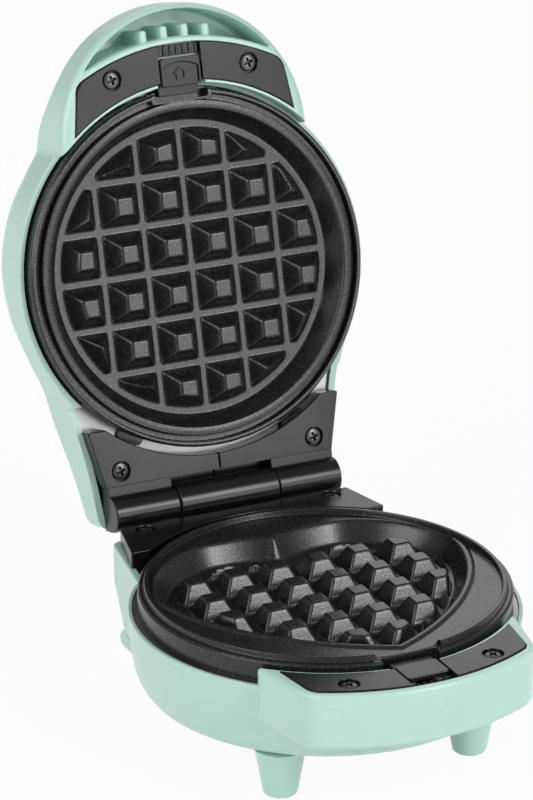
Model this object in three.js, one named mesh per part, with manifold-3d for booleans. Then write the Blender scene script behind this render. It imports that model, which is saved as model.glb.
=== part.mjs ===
// Mini waffle maker with its lid open: a round base on four legs, a hinged lid, a heart-shaped lower
// plate, a round upper plate and a sprung catch for each plate.
// Millimetres, +Z up. The handle side is at -Y, the hinge at +Y, and X runs from left to right.
// The origin is under the middle of the open appliance, on the surface that it stands on.

import * as THREE from 'three';
import { mergeVertices } from 'three/addons/utils/BufferGeometryUtils.js';
import Module from 'manifold-3d';

const wasm = await Module();
wasm.setup();

// Fits
const gap = 0.3; // between pieces that touch
const overrun = 1; // of a cut past a face
const sharpestLeanShare = 0.5; // limits how far a sharp corner moves when an outline is drawn in
const partingGap = 0.5; // between the faces of the two plates, lid closed
const catchPlay = 0.5; // beside a sliding catch

// Facets of round shapes
const roundSides = 48;
const knuckleSides = 28;
const legSides = 24;
const smallSides = 12;
const shankSides = 8;
const fuseSides = 10;
const fuseWireSides = 6;
const arcSteps = 9;
const cornerSteps = 4;
const archSteps = 12;
const bodySteps = 10;
const neckSteps = 5;
const roundingSteps = 3;
const leadSteps = 12;
const heaterRingSteps = 26;

// Hinge and pose
const openAngleDegrees = 103.84; // from closed
const hingeMargin = 18.1; // axis behind the plates' edge
const hingeRise = 0.8; // axis above the lower plate's face
const knuckleRadius = 6.5;
const middleKnuckleExtra = 0.4; // the middle knuckle stands proud of the outer ones
const middleKnuckleHalf = 19.3;
const hingeHalf = 44;
const pinRadius = 2;

// Cast plates
const plateRadius = 63.9;
const hingeBack = plateRadius + hingeMargin;
const skirtHeight = 8.5;
const castWall = 1.8;
const castFloor = 2.4;
const castBevel = 0.7;
const tongueInset = 3.7; // its inner edge from the plate's edge
const tongueInner = plateRadius - tongueInset;
const tongueWidth = 1.4;
const tongueHeight = 1.2;
const grooveDepth = 3.2;
const grooveClearance = 0.45; // on either side of the tongue
const lowerFaceDrop = 0.8; // lower plate's flange below the heart's bead
const beadWidth = 1.4;
const notchHalf = 10.3;
const notchDepth = 4.7;
const notchReach = 3.6;
const tabHalf = 5;
const tabReach = 2.6;
const tabThickness = 1.2;
const tabAngleDegrees = 28.5; // either side of the hinge side

// Round field of the upper plate
const roundFlange = 3.2; // from the field's mouth to the tongue's circle
const roundDepth = 7.3;
const roundWallRun = 4.2;
const roundMouthRadius = tongueInner - roundFlange;
const roundFloorRadius = roundMouthRadius - roundWallRun;
const roundPitch = 17;
const roundBossBase = 14.3;
const roundBossTop = 6.3;
const roundBossHeight = 6.75;
const roundFieldMargin = 1.2; // clear strip round the bosses
const roundColumns = 3; // on each side of the middle

// Heart field of the lower plate
const heartDepth = 7;
const heartSideMargin = 2.7; // from the tongue's circle
const heartTipMargin = 4.2;
const heartLobeMargin = 13.6;
const heartHalf = tongueInner - heartSideMargin;
const heartFront = tongueInner - heartTipMargin;
const heartBack = tongueInner - heartLobeMargin;
const heartCuspDepth = 4.2; // cusp in front of the lobes' back edge
const heartCusp = heartBack - heartCuspDepth;
const heartLobe = 22; // middle of a lobe's back edge
const heartWidest = 13; // the widest place, behind the centre
const heartWallRun = 4.5;
const heartPitchAcross = 15.66;
const heartPitchAlong = 15.4;
const heartRowOffset = 6.4;
const heartBossBase = 13;
const heartBossTop = 6.4;
const heartBossHeight = 6.5;
const heartFieldMargin = 0.8; // clear strip round the bosses
const heartBackMargin = 7; // the same strip behind them
const heartColumns = 4; // on each side of the middle
const heartRows = 4; // on each side of the first row

// Casing of the base
const shellWall = 2.4;
const rimMargin = 3.3; // past the plate's edge
const rimRadius = plateRadius + rimMargin;
const rimDrop = 8.4; // rim below the plate's face
const ledgeWidth = 1.3; // rim's outer lip round the liner
const linerDrop = 8.8; // liner's sheet below the plate's face
const linerSheet = 0.8;
const sideDraft = 1.4;
const sideHeight = 18.6;
const seamInset = 3.8;
const seamHeight = 7.6;
const bottomInset = 8;
const bottomHeight = 3.4;
const sideRadius = rimRadius - sideDraft;
const baseSideDrop = rimDrop + sideHeight;
const baseSeamRadius = sideRadius - seamInset;
const baseSeamDrop = baseSideDrop + seamHeight;
const baseBottomRadius = baseSeamRadius - bottomInset;
const baseBottomDrop = baseSeamDrop + bottomHeight;
const coverSheet = 2.4;

// Neck of the base, which carries the hinge
const neckRootInset = 15.7; // from the rim's side
const neckRootHalf = rimRadius - neckRootInset;
const neckRootBack = Math.sqrt(rimRadius * rimRadius - neckRootHalf * neckRootHalf) - gap;
const neckRimDrop = 7.2;
const neckCorner = 5;
const baseNeckHalf = 46.8;
const baseNeckMargin = 5; // its end in front of the hinge
const baseNeckBack = hingeBack - baseNeckMargin;
const baseNeckSlopeHeight = 17.1; // of the sloping part under its end
const baseNeckSlopeDrop = baseSeamDrop - baseNeckSlopeHeight;

// Blocks on the handle side
const blockClearance = 2.1; // round the plate
const blockLength = 17;
const blockInner = plateRadius + blockClearance;
const blockRadius = blockInner + blockLength;
const blockHalfFront = 42; // where its ends meet the outer arc
const blockHalfBack = 47.2;
const blockEndFront = 48; // forward place of the ends' back edge
const blockCorner = 6;
const blockEdge = 1.6; // rounding of its edges
const baseBlockTop = -2.4; // above the plate's face
const lidBlockTop = 1.3;
const baseBlockDrop = 22.4;
const blockDeck = 5.6; // thickness of the block's top
const insertMargin = 1.1; // from the block's inner edge
const insertEdge = 2.7; // from its outer edge
const insertInner = blockInner + insertMargin;
const insertOuter = blockRadius - insertEdge;
const insertHalfFront = 39.4;
const insertHalfBack = 42.2;
const insertEndFront = 54.5;
const insertThickness = 3;
const insertRise = 0.5; // above the block's top
const insertCorner = 3;
const insertScrewAcross = 26.3;
const insertScrewMargin = 3.1; // in front of the insert's inner edge
const insertScrewFront = insertInner + insertScrewMargin;
const slotHalf = 9.2;

// Casing of the lid: one outline of handle, round body and neck, with a back that slopes at both ends
const lidSideMargin = 2.6; // past the plate's edge
const lidSideRadius = plateRadius + lidSideMargin;
const lidRimDrop = 5.6;
const lidLipWidth = 1.9; // rim's lip round the liner
const lidLipRadius = lidSideRadius - lidLipWidth;
const lidBackDrop = 32;
const lidHandleDrop = 20;
const lidNeckDrop = 22.4; // at the neck's end
const handleRounding = 7; // between its side and its back
const bodyRounding = 12;
const neckRounding = 5;
const handleReach = 11.2; // past the block's front
const archRadius = 47.3; // of the handle's front
const archCentreFront = blockRadius + handleReach - archRadius;
const archWall = 2.2;
const archEdge = 1.9; // rounding of its front edge
const lidNeckRootShare = 0.51; // of the side radius, where the neck leaves the round body
const lidNeckHalf = 46;
const lidNeckMargin = 7; // its end behind the hinge
const lidNeckBack = hingeBack + lidNeckMargin;
const lidNeckCorner = 6;
const lidNeckTaperShare = 0.09; // of its length, on each side
const lidNeckOpenMargin = 39; // front of its open part, in front of the hinge
const lidNeckOpen = hingeBack - lidNeckOpenMargin;
const lidSlopeMargin = 31; // start of the neck's slope, in front of the hinge
const lidSlopeBack = hingeBack - lidSlopeMargin;
const stopAcross = 30; // lugs of the lid that meet the base's neck when it is open
const stopHalf = 4;
const stopReach = 4.2; // past the lid neck's end
const stopRoot = 13; // below the plate's face
const stopTip = 1.8; // above the plate's face

// Finger pocket in the handle
const pocketInset = 0.5; // of its wall behind the block's front
const pocketInner = blockRadius - pocketInset;
const pocketDrop = 16;
const ribCount = 4;
const ribPitch = 8;
const ribThickness = 2.6;
const ribHeight = 4.2;
const ribSetback = 1.4; // behind the pocket's mouth

// Catches
const catchHalf = 7.7;
const catchOverhang = 0.8; // over the block's inner edge
const catchLength = 10.1;
const catchBack = blockInner - catchOverhang;
const catchFront = catchBack + catchLength;
const catchThickness = 3.2;
const catchLip = 0.9; // height of the lip that a finger pushes
const catchLipWidth = 1.5;
const catchThin = 1.5; // where it slides over the guide
const catchScoopRadius = 13;
const catchScoopSides = 32;
const catchTravel = 3;
const noseReach = 3.4; // of the nose past the catch's edge
const noseThickness = 1.8;
const noseWeb = 2;
const stemHalf = 3.2;
const stemInset = 2.4; // from the catch's back edge
const stemLength = 4.4;
const stemBack = catchBack + stemInset;
const stemFront = stemBack + stemLength;
const footHalf = 5.6;
const footHeight = 6;
const guideHeight = 0.8;
const guideRibs = 5;
const guideRibWidth = 0.9;
const guideRibHeight = 0.4;
const springRadius = 2.3;
const springWire = 0.7;
const springTurns = 4;
const springSteps = 7; // of each turn
const springSides = 4;

// Hinge brackets
const bracketTop = -0.9; // above the plate's face
const bracketThickness = 6;
const bracketClearance = 3; // round the plate
const bracketInner = plateRadius + bracketClearance;
const bracketShoulder = 42; // where that arc ends
const bracketFront = Math.sqrt(bracketInner * bracketInner - bracketShoulder * bracketShoulder);
const bracketHalfFront = 49.2;
const bracketHalfBack = 44.4;
const bracketMargin = 9; // its back edge in front of the hinge
const bracketBack = hingeBack - bracketMargin;
const bracketSlit = 0.8;
const bracketMiddleMargin = 9.5; // edge of the lid's brackets beside the middle knuckle
const bracketMiddleBack = hingeBack - bracketMiddleMargin;
const webThickness = 3.5;
const guardThickness = 1.4; // plate of the lid's brackets behind the middle knuckle
const baseBracketScrewAcross = 36.4;
const baseBracketScrewMargin = 4; // in front of the bracket's back edge
const baseBracketScrewBack = bracketBack - baseBracketScrewMargin;
const lidBracketScrewAcross = 38;
const lidBracketScrewMargin = 5.7;
const lidBracketScrewBack = bracketBack - lidBracketScrewMargin;

// Screws
const screwHeadRadius = 3.1;
const screwHeadHeight = 1.3;
const screwShankRadius = 1.4;
const screwLength = 9;
const screwSlotWidth = 0.9;
const screwSlotLength = 3.8;
const screwSlotDepth = 0.7;
const screwSink = 0.3; // head below the face
const postRadius = 3.6;
const postLength = 11;

// Legs
const legAcross = 35.6;
const legFront = 38.9;
const legTopRadius = 8.6;
const legBottomRadius = 5.9;
const legEdge = 1.2;
const standHeight = 53.5; // lower plate's face above the feet
const legBoreShare = 0.6; // of the leg's radii
const rearLegAcross = 33.6;
const rearLegThickness = 9.6;
const rearLegRootInset = 10; // start of its root in front of the bottom's edge
const rearLegToeLength = 22.5;
const rearLegToeBack = hingeBack + rearLegToeLength / 3;
const rearLegToeFront = rearLegToeBack - rearLegToeLength;
const rearLegToeHeight = 4.4;
const rearLegKneeMargin = 9.4; // in front of the neck's end
const rearLegKneeBack = baseNeckBack - rearLegKneeMargin;
const rearLegKneeHeight = 4; // above the seam
const rearLegKneeDrop = baseSeamDrop - rearLegKneeHeight;

// Inner parts
const bowlMargin = 5.3; // from the plate's edge
const bowlDraft = 2;
const bowlRadius = plateRadius - bowlMargin;
const bowlFloorRadius = bowlRadius - bowlDraft;
const bowlDrop = 17.4;
const heaterRadius = 40;
const heaterTube = 3.1;
const heaterOpeningDegrees = 24;
const heaterLegLength = 8;
const heaterBend = 5;
const heaterSides = 7;
const heaterSteps = 40;
const thermostatRadius = 8;
const thermostatCapRadius = 5.6;
const thermostatBase = 2.4;
const fuseRadius = 2;
const fuseLength = 14;
const fuseWireShare = 0.33; // of the fuse's radius
const fuseAcross = 24;
const terminalLength = 30;
const terminalWidth = 14;
const terminalHeight = 9;
const terminalBack = 22;
const terminalRibs = 3;
const terminalRibWidth = 1.6;
const terminalRibHeight = 2;
const glandRadius = 3.4;
const glandFlangeRadius = 4.4;
const glandFlangeThickness = 1.4;
const glandBore = 2.2;
const glandDrop = 12.4;
const wireRadius = 1.1;
const wireSpacing = 3;
const wireSides = 6;
const coverScrewRadius = 40; // circle of the bottom cover's screws
const coverScrewAngleDegrees = 20;
const lampRadius = 3.6;
const lampDome = 1.2;
const lampShoulderShares = [0.6, 0.8]; // of its radius and of its dome
const lampFront = 30;
const lampFlangeRadius = 4.6;
const lampBodyRadius = 3;
const lampBodyLength = 9;

// Materials
const mint = new THREE.MeshStandardMaterial({ color: 0xb8dccf, roughness: 0.32, metalness: 0 });
const castBlack = new THREE.MeshStandardMaterial({ color: 0x3a3a3c, roughness: 0.45, metalness: 0.25 });
const blackPlastic = new THREE.MeshStandardMaterial({ color: 0x242425, roughness: 0.42, metalness: 0 });
const sheetMetal = new THREE.MeshStandardMaterial({ color: 0xc4c6c8, roughness: 0.35, metalness: 0.9 });
const screwSteel = new THREE.MeshStandardMaterial({ color: 0x77787a, roughness: 0.35, metalness: 0.9 });
const springSteel = new THREE.MeshStandardMaterial({ color: 0xa9abad, roughness: 0.3, metalness: 1 });
const heaterSteel = new THREE.MeshStandardMaterial({ color: 0x8b8a86, roughness: 0.45, metalness: 0.9 });
const ceramic = new THREE.MeshStandardMaterial({ color: 0xe9e5da, roughness: 0.6, metalness: 0 });
const wireSleeve = new THREE.MeshStandardMaterial({ color: 0xd9d6cf, roughness: 0.7, metalness: 0 });
const lampPlastic = new THREE.MeshStandardMaterial({ color: 0xe9efe9, roughness: 0.15, metalness: 0 });

// Solids from geometry, and back

function solid(geometry) {
  const bare = geometry.clone();
  for (const name of Object.keys(bare.attributes)) {
    if (name !== 'position') bare.deleteAttribute(name);
  }
  const merged = mergeVertices(bare);
  const positions = merged.attributes.position.array;
  const corners = [];
  const index = merged.index.array;
  let volume = 0;
  const [a, b, c] = [new THREE.Vector3(), new THREE.Vector3(), new THREE.Vector3()];
  for (let i = 0; i < index.length; i += 3) {
    const [p, q, r] = [index[i], index[i + 1], index[i + 2]];
    if (p === q || q === r || r === p) continue;
    corners.push(p, q, r);
    a.fromArray(positions, 3 * p);
    b.fromArray(positions, 3 * q);
    c.fromArray(positions, 3 * r);
    volume += a.dot(b.cross(c));
  }
  if (volume < 0) corners.reverse();
  return new wasm.Manifold(new wasm.Mesh({
    numProp: 3,
    vertProperties: new Float32Array(positions),
    triVerts: new Uint32Array(corners),
  }));
}

function piece(name, body, material) {
  const found = body.getMesh();
  const geometry = new THREE.BufferGeometry();
  geometry.setAttribute('position', new THREE.BufferAttribute(new Float32Array(found.vertProperties), 3));
  geometry.setIndex(new THREE.BufferAttribute(new Uint32Array(found.triVerts), 1));
  geometry.computeVertexNormals();
  const mesh = new THREE.Mesh(geometry, material);
  mesh.name = name;
  return mesh;
}

function join(...bodies) {
  return bodies.reduce((whole, body) => whole.add(body));
}

function cut(body, ...tools) {
  return tools.reduce((rest, tool) => rest.subtract(tool), body);
}

// Outlines in a plane, as lists of points that run anticlockwise

function circle(radius, sides = roundSides, x = 0, y = 0) {
  const points = [];
  for (let i = 0; i < sides; i += 1) {
    const turn = 2 * Math.PI * i / sides;
    points.push(new THREE.Vector2(x + radius * Math.cos(turn), y + radius * Math.sin(turn)));
  }
  return points;
}

function rectangle(left, right, front, back) {
  return [
    new THREE.Vector2(left, front),
    new THREE.Vector2(right, front),
    new THREE.Vector2(right, back),
    new THREE.Vector2(left, back),
  ];
}

function outline(path, divisions) {
  const points = path.getPoints(divisions);
  const kept = points.filter((point, i) => point.distanceTo(points[(i + 1) % points.length]) > gap / 100);
  return THREE.ShapeUtils.isClockWise(kept) ? kept.reverse() : kept;
}

function insetEach(points, distances) {
  return points.map((point, i) => {
    const before = points[(i + points.length - 1) % points.length];
    const after = points[(i + 1) % points.length];
    const first = point.clone().sub(before).normalize();
    const second = after.clone().sub(point).normalize();
    const normal = new THREE.Vector2(-first.y - second.y, first.x + second.x).normalize();
    const lean = Math.max(normal.dot(new THREE.Vector2(-first.y, first.x)), sharpestLeanShare);
    return point.clone().addScaledVector(normal, distances[i] / lean);
  });
}

function inset(points, distance) {
  return insetEach(points, points.map(() => distance));
}

// A value that follows a table of places and values in straight steps, and stays at its ends
function follow(place, table) {
  const next = table.findIndex(([at]) => at > place);
  if (next === 0) return table[0][1];
  if (next < 0) return table.at(-1)[1];
  const [[from, low], [to, high]] = [table[next - 1], table[next]];
  return low + (high - low) * (place - from) / (to - from);
}

// A closed body through rings of points, from the lowest to the highest, with the triangles of its two ends
function skin(rings, lowCap, highCap) {
  const count = rings[0].length;
  const positions = rings.flat().flatMap((point) => [point.x, point.y, point.z]);
  const index = [];
  for (let level = 0; level + 1 < rings.length; level += 1) {
    for (let i = 0; i < count; i += 1) {
      const [p, q] = [level * count + i, level * count + (i + 1) % count];
      index.push(p, q, q + count, p, q + count, p + count);
    }
  }
  const last = (rings.length - 1) * count;
  for (const [p, q, r] of lowCap) index.push(r, q, p);
  for (const [p, q, r] of highCap) index.push(last + p, last + q, last + r);
  const geometry = new THREE.BufferGeometry();
  geometry.setAttribute('position', new THREE.Float32BufferAttribute(positions, 3));
  geometry.setIndex(index);
  return solid(geometry);
}

// A closed body through level outlines that have the same number of points
function loft(rings) {
  const levels = rings.map(({ points, z }) => points.map((point) => new THREE.Vector3(point.x, point.y, z)));
  return skin(levels, THREE.ShapeUtils.triangulateShape(rings[0].points, []),
    THREE.ShapeUtils.triangulateShape(rings.at(-1).points, []));
}

function prism(points, low, high) {
  return loft([{ points, z: low }, { points, z: high }]);
}

// A prism whose top and bottom edges are rounded off by one chamfer
function softPrism(points, low, high, edge) {
  return loft([
    { points: inset(points, edge), z: low },
    { points, z: low + edge },
    { points, z: high - edge },
    { points: inset(points, edge), z: high },
  ]);
}

function box(left, right, front, back, low, high) {
  return prism(rectangle(left, right, front, back), low, high);
}

// A body of revolution about Z from a profile of radius and height
function turned(profile, sides = roundSides) {
  const points = profile.map(([radius, height]) => new THREE.Vector2(radius, height));
  if (profile[0][0] > 0 || profile.at(-1)[0] > 0) points.push(points[0].clone());
  return solid(new THREE.LatheGeometry(points, sides).rotateX(Math.PI / 2));
}

function cylinder(radius, low, high, x = 0, y = 0, sides = smallSides) {
  return prism(circle(radius, sides, x, y), low, high);
}

// A cylinder along X
function roller(radius, left, right, y, z, sides) {
  const along = new THREE.CylinderGeometry(radius, radius, right - left, sides).rotateZ(Math.PI / 2);
  return solid(along.translate((left + right) / 2, y, z));
}

// A cylinder along Y
function rodAlong(radius, front, back, x, z, sides = smallSides) {
  const along = new THREE.CylinderGeometry(radius, radius, back - front, sides);
  return solid(along.translate(x, (front + back) / 2, z));
}

// A prism along X from an outline in Y and Z
function sideways(points, left, right) {
  const shape = new THREE.Shape(points.map(([y, z]) => new THREE.Vector2(y, z)));
  const along = new THREE.ExtrudeGeometry(shape, { depth: right - left, bevelEnabled: false });
  along.applyMatrix4(new THREE.Matrix4().makeBasis(
    new THREE.Vector3(0, 1, 0),
    new THREE.Vector3(0, 0, 1),
    new THREE.Vector3(1, 0, 0),
  ));
  return solid(along.translate(left, 0, 0));
}

function tube(curve, radius, sides, steps) {
  const section = new THREE.Shape(circle(radius, sides));
  return new THREE.ExtrudeGeometry(section, { steps, extrudePath: curve, bevelEnabled: false });
}

function mirrored(make) {
  return join(make(-1), make(1));
}

// Plates

function heartOutline() {
  const [startAcrossShare, startBackShare] = [0.14, 0.53]; // of the way from cusp to lobe
  const [lobeAcrossShare, lobeAlongShare] = [0.5, 0.45]; // of the way from lobe to widest place
  const [sideShare, tipAcrossShare, tipAlongShare] = [0.3, 0.63, 0.23]; // of the way to the tip
  const length = heartFront + heartWidest;
  const shape = new THREE.Shape();
  shape.moveTo(0, heartCusp);
  shape.bezierCurveTo(
    heartLobe * startAcrossShare, heartCusp + (heartBack - heartCusp) * startBackShare,
    heartLobe * startBackShare, heartBack,
    heartLobe, heartBack,
  );
  shape.bezierCurveTo(
    heartLobe + (heartHalf - heartLobe) * lobeAcrossShare, heartBack,
    heartHalf, heartWidest + (heartBack - heartWidest) * lobeAlongShare,
    heartHalf, heartWidest,
  );
  shape.bezierCurveTo(
    heartHalf, heartWidest - length * sideShare,
    heartHalf * tipAcrossShare, -heartFront + length * tipAlongShare,
    0, -heartFront,
  );
  const right = shape.getPoints(arcSteps);
  const left = right.slice(1, -1).map((point) => new THREE.Vector2(-point.x, point.y)).reverse();
  return outline(new THREE.Shape([...right, ...left]), 1);
}

function boss(x, y, base, top, height, floor) {
  return loft([
    { points: rectangle(x - base / 2, x + base / 2, y - base / 2, y + base / 2), z: floor - castFloor / 2 },
    { points: rectangle(x - base / 2, x + base / 2, y - base / 2, y + base / 2), z: floor },
    { points: rectangle(x - top / 2, x + top / 2, y - top / 2, y + top / 2), z: floor + height },
  ]);
}

// Rows and columns of bosses, cut off along the edge of their field, which widens from its floor to its mouth
function bossField(places, size, field, mouth, floor) {
  const bosses = places.map(([x, y]) => boss(x, y, size.base, size.top, size.height, floor));
  return join(...bosses).intersect(loft([
    { points: field, z: floor - castFloor },
    { points: field, z: floor },
    { points: mouth, z: 0 },
  ]));
}

function lattice(columns, rows, across, along, offset, keep) {
  const places = [];
  for (let row = -rows; row <= rows; row += 1) {
    for (let column = -columns; column < columns; column += 1) {
      const [x, y] = [(column + 1 / 2) * across, row * along + offset];
      if (keep(x, y)) places.push([x, y]);
    }
  }
  return places;
}

// The notch that takes the catch's nose, and the two tabs that hook in at the hinge side
function notchCut() {
  const back = notchReach - plateRadius;
  return box(-notchHalf, notchHalf, -plateRadius - overrun, back, -notchDepth, tongueHeight + overrun);
}

function notchFloor() {
  const back = notchReach + castWall - plateRadius;
  return box(-notchHalf - castWall, notchHalf + castWall, castWall / 2 - plateRadius, back,
    -notchDepth - castWall, -lowerFaceDrop - castFloor / 2);
}

function plateTabs() {
  return mirrored((side) => {
    const reach = plateRadius + tabReach;
    const tab = rectangle(-tabHalf, tabHalf, plateRadius - castWall, reach);
    const turn = side * THREE.MathUtils.degToRad(tabAngleDegrees);
    const turnedTab = tab.map((point) => point.clone().rotateAround(new THREE.Vector2(), turn));
    return prism(turnedTab, -skirtHeight, tabThickness - skirtHeight);
  });
}

function plateBody(flangeProfile) {
  const inner = plateRadius - castWall;
  return turned([
    [0, -castFloor - lowerFaceDrop], [inner, -castFloor - lowerFaceDrop], [inner, -skirtHeight],
    [plateRadius, -skirtHeight], ...flangeProfile,
  ]);
}

function lowerPlate() {
  const face = -lowerFaceDrop;
  const body = plateBody([
    [plateRadius, face - castBevel], [plateRadius - castBevel, face],
    [tongueInner + tongueWidth, face], [tongueInner + tongueWidth, tongueHeight],
    [tongueInner, tongueHeight], [tongueInner, face], [0, face],
  ]);
  const rim = heartOutline();
  const pan = loft([
    { points: inset(rim, heartWallRun), z: -heartDepth - castFloor },
    { points: rim, z: face - castFloor },
    { points: rim, z: 0 },
  ]);
  const mouth = inset(rim, beadWidth);
  const floor = inset(rim, beadWidth + heartWallRun);
  const hollow = loft([
    { points: floor, z: -heartDepth },
    { points: mouth, z: 0 },
    { points: mouth, z: overrun },
  ]);
  const places = lattice(heartColumns, heartRows, heartPitchAcross, heartPitchAlong, heartRowOffset,
    (x, y) => Math.hypot(x, y) < heartHalf);
  const size = { base: heartBossBase, top: heartBossTop, height: heartBossHeight };
  const margins = floor.map(({ y }) => (
    follow(y, [[heartWidest, heartFieldMargin], [heartCusp - heartWallRun, heartBackMargin]])));
  const field = insetEach(floor, margins);
  const bosses = bossField(places, size, field, field, -heartDepth);
  const tongueStop = notchHalf + beadWidth + gap + gap;
  const tongueCut = box(-tongueStop, tongueStop, -plateRadius, tongueWidth - tongueInner,
    face, tongueHeight + overrun);
  return cut(join(cut(join(body, pan, notchFloor()), hollow), bosses, plateTabs()), notchCut(), tongueCut);
}

function upperPlate() {
  const grooveInner = tongueInner - grooveClearance;
  const grooveOuter = tongueInner + tongueWidth + grooveClearance;
  const backing = -grooveDepth - castWall;
  const body = plateBody([[plateRadius, -castBevel], [plateRadius - castBevel, 0], [0, 0]]);
  const pan = turned([
    [0, -roundDepth - castFloor], [roundFloorRadius, -roundDepth - castFloor],
    [roundMouthRadius + beadWidth, backing], [plateRadius - castWall / 2, backing],
    [plateRadius - castWall / 2, -castFloor / 2], [0, -castFloor / 2],
  ]);
  const hollow = turned([
    [0, -roundDepth], [roundFloorRadius, -roundDepth], [roundMouthRadius, 0], [roundMouthRadius, overrun],
    [0, overrun],
  ]);
  const bridge = notchHalf + beadWidth;
  const groove = cut(
    turned([
      [grooveInner, -grooveDepth], [grooveOuter, -grooveDepth],
      [grooveOuter, overrun], [grooveInner, overrun],
    ]),
    box(-bridge, bridge, -plateRadius, 0, -grooveDepth - overrun, overrun + overrun),
  );
  const places = lattice(roundColumns, roundColumns, roundPitch, roundPitch, roundPitch / 2,
    (x, y) => Math.hypot(x, y) < roundFloorRadius);
  const size = { base: roundBossBase, top: roundBossTop, height: roundBossHeight };
  const field = circle(roundFloorRadius - roundFieldMargin);
  const mouth = circle(roundMouthRadius - roundFieldMargin);
  const bosses = bossField(places, size, field, mouth, -roundDepth);
  const dish = cut(join(body, pan, notchFloor()), hollow, groove);
  return cut(join(dish, bosses, plateTabs()), notchCut());
}

// Casings

function neckOutline(half, back, shrink) {
  const corner = Math.max(neckCorner - shrink, gap);
  const [root, side, end] = [neckRootHalf - shrink, half - shrink, back - shrink];
  const shape = new THREE.Shape();
  shape.moveTo(-root, 0);
  shape.lineTo(root, 0);
  shape.lineTo(root, neckRootBack);
  shape.lineTo(side, end - corner);
  shape.quadraticCurveTo(side, end, side - corner, end);
  shape.lineTo(corner - side, end);
  shape.quadraticCurveTo(-side, end, -side, end - corner);
  shape.lineTo(-root, neckRootBack);
  return outline(shape, cornerSteps);
}

// What lies behind and below a slope from one place to another, in Y and Z
function slopeCut(top, bottom, lift) {
  const run = new THREE.Vector2(bottom[0] - top[0], bottom[1] - top[1]).normalize();
  const normal = new THREE.Vector2(run.y, -run.x);
  const shift = ([y, z]) => [y + normal.x * lift, z + normal.y * lift];
  const [reach, depth] = [rimRadius, rimRadius + rimRadius];
  const [high, low] = [
    [top[0] - run.x * reach, top[1] - run.y * reach],
    [bottom[0] + run.x * reach, bottom[1] + run.y * reach],
  ].map(shift);
  const away = ([y, z]) => [y - normal.x * depth, z - normal.y * depth];
  return sideways([high, low, away(low), away(high)], -rimRadius, rimRadius);
}

function blockOutline(shrink) {
  const radius = blockRadius - shrink;
  const corner = blockHalfFront - shrink;
  const cornerFront = Math.sqrt(radius * radius - corner * corner);
  const back = blockHalfBack - shrink;
  const along = new THREE.Vector2(corner - back, blockEndFront - cornerFront).normalize();
  const bend = blockCorner / radius;
  const startTurn = Math.atan2(-cornerFront, corner) - bend;
  const endTurn = -Math.PI - startTurn;
  const shape = new THREE.Shape();
  shape.moveTo(-back, -blockEndFront);
  shape.lineTo(-corner + along.x * blockCorner, -cornerFront - along.y * blockCorner);
  shape.quadraticCurveTo(-corner, -cornerFront, radius * Math.cos(endTurn), radius * Math.sin(endTurn));
  shape.absarc(0, 0, radius, endTurn, startTurn, false);
  shape.quadraticCurveTo(corner, -cornerFront,
    corner - along.x * blockCorner, -cornerFront - along.y * blockCorner);
  shape.lineTo(back, -blockEndFront);
  shape.lineTo(back, -blockEndFront + blockCorner);
  shape.lineTo(-back, -blockEndFront + blockCorner);
  return outline(shape, arcSteps);
}

function insertOutline(grow) {
  const [inner, outer] = [insertInner - grow, insertOuter + grow];
  const [front, back] = [insertHalfFront + grow, insertHalfBack + grow];
  const frontY = Math.sqrt(outer * outer - front * front);
  const bend = insertCorner / outer;
  const startTurn = Math.atan2(-frontY, front);
  const left = -Math.PI - startTurn;
  const innerTurn = Math.asin(back / inner);
  const shape = new THREE.Shape();
  shape.absarc(0, 0, outer, left + bend, startTurn - bend, false);
  shape.quadraticCurveTo(front, -frontY,
    front + insertCorner * (back - front) / (frontY - insertEndFront), -frontY + insertCorner);
  shape.absarc(0, 0, inner, innerTurn - Math.PI / 2, -innerTurn - Math.PI / 2, true);
  shape.lineTo(-front - insertCorner * (back - front) / (frontY - insertEndFront), -frontY + insertCorner);
  shape.quadraticCurveTo(-front, -frontY,
    outer * Math.cos(left + bend), outer * Math.sin(left + bend));
  return outline(shape, arcSteps);
}

// Where the sloping part under the base's neck starts and ends, in Y and Z
function baseSlope() {
  return [[baseNeckBack, -baseNeckSlopeDrop], [baseNeckBack - baseNeckSlopeHeight, -baseSeamDrop]];
}

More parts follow.
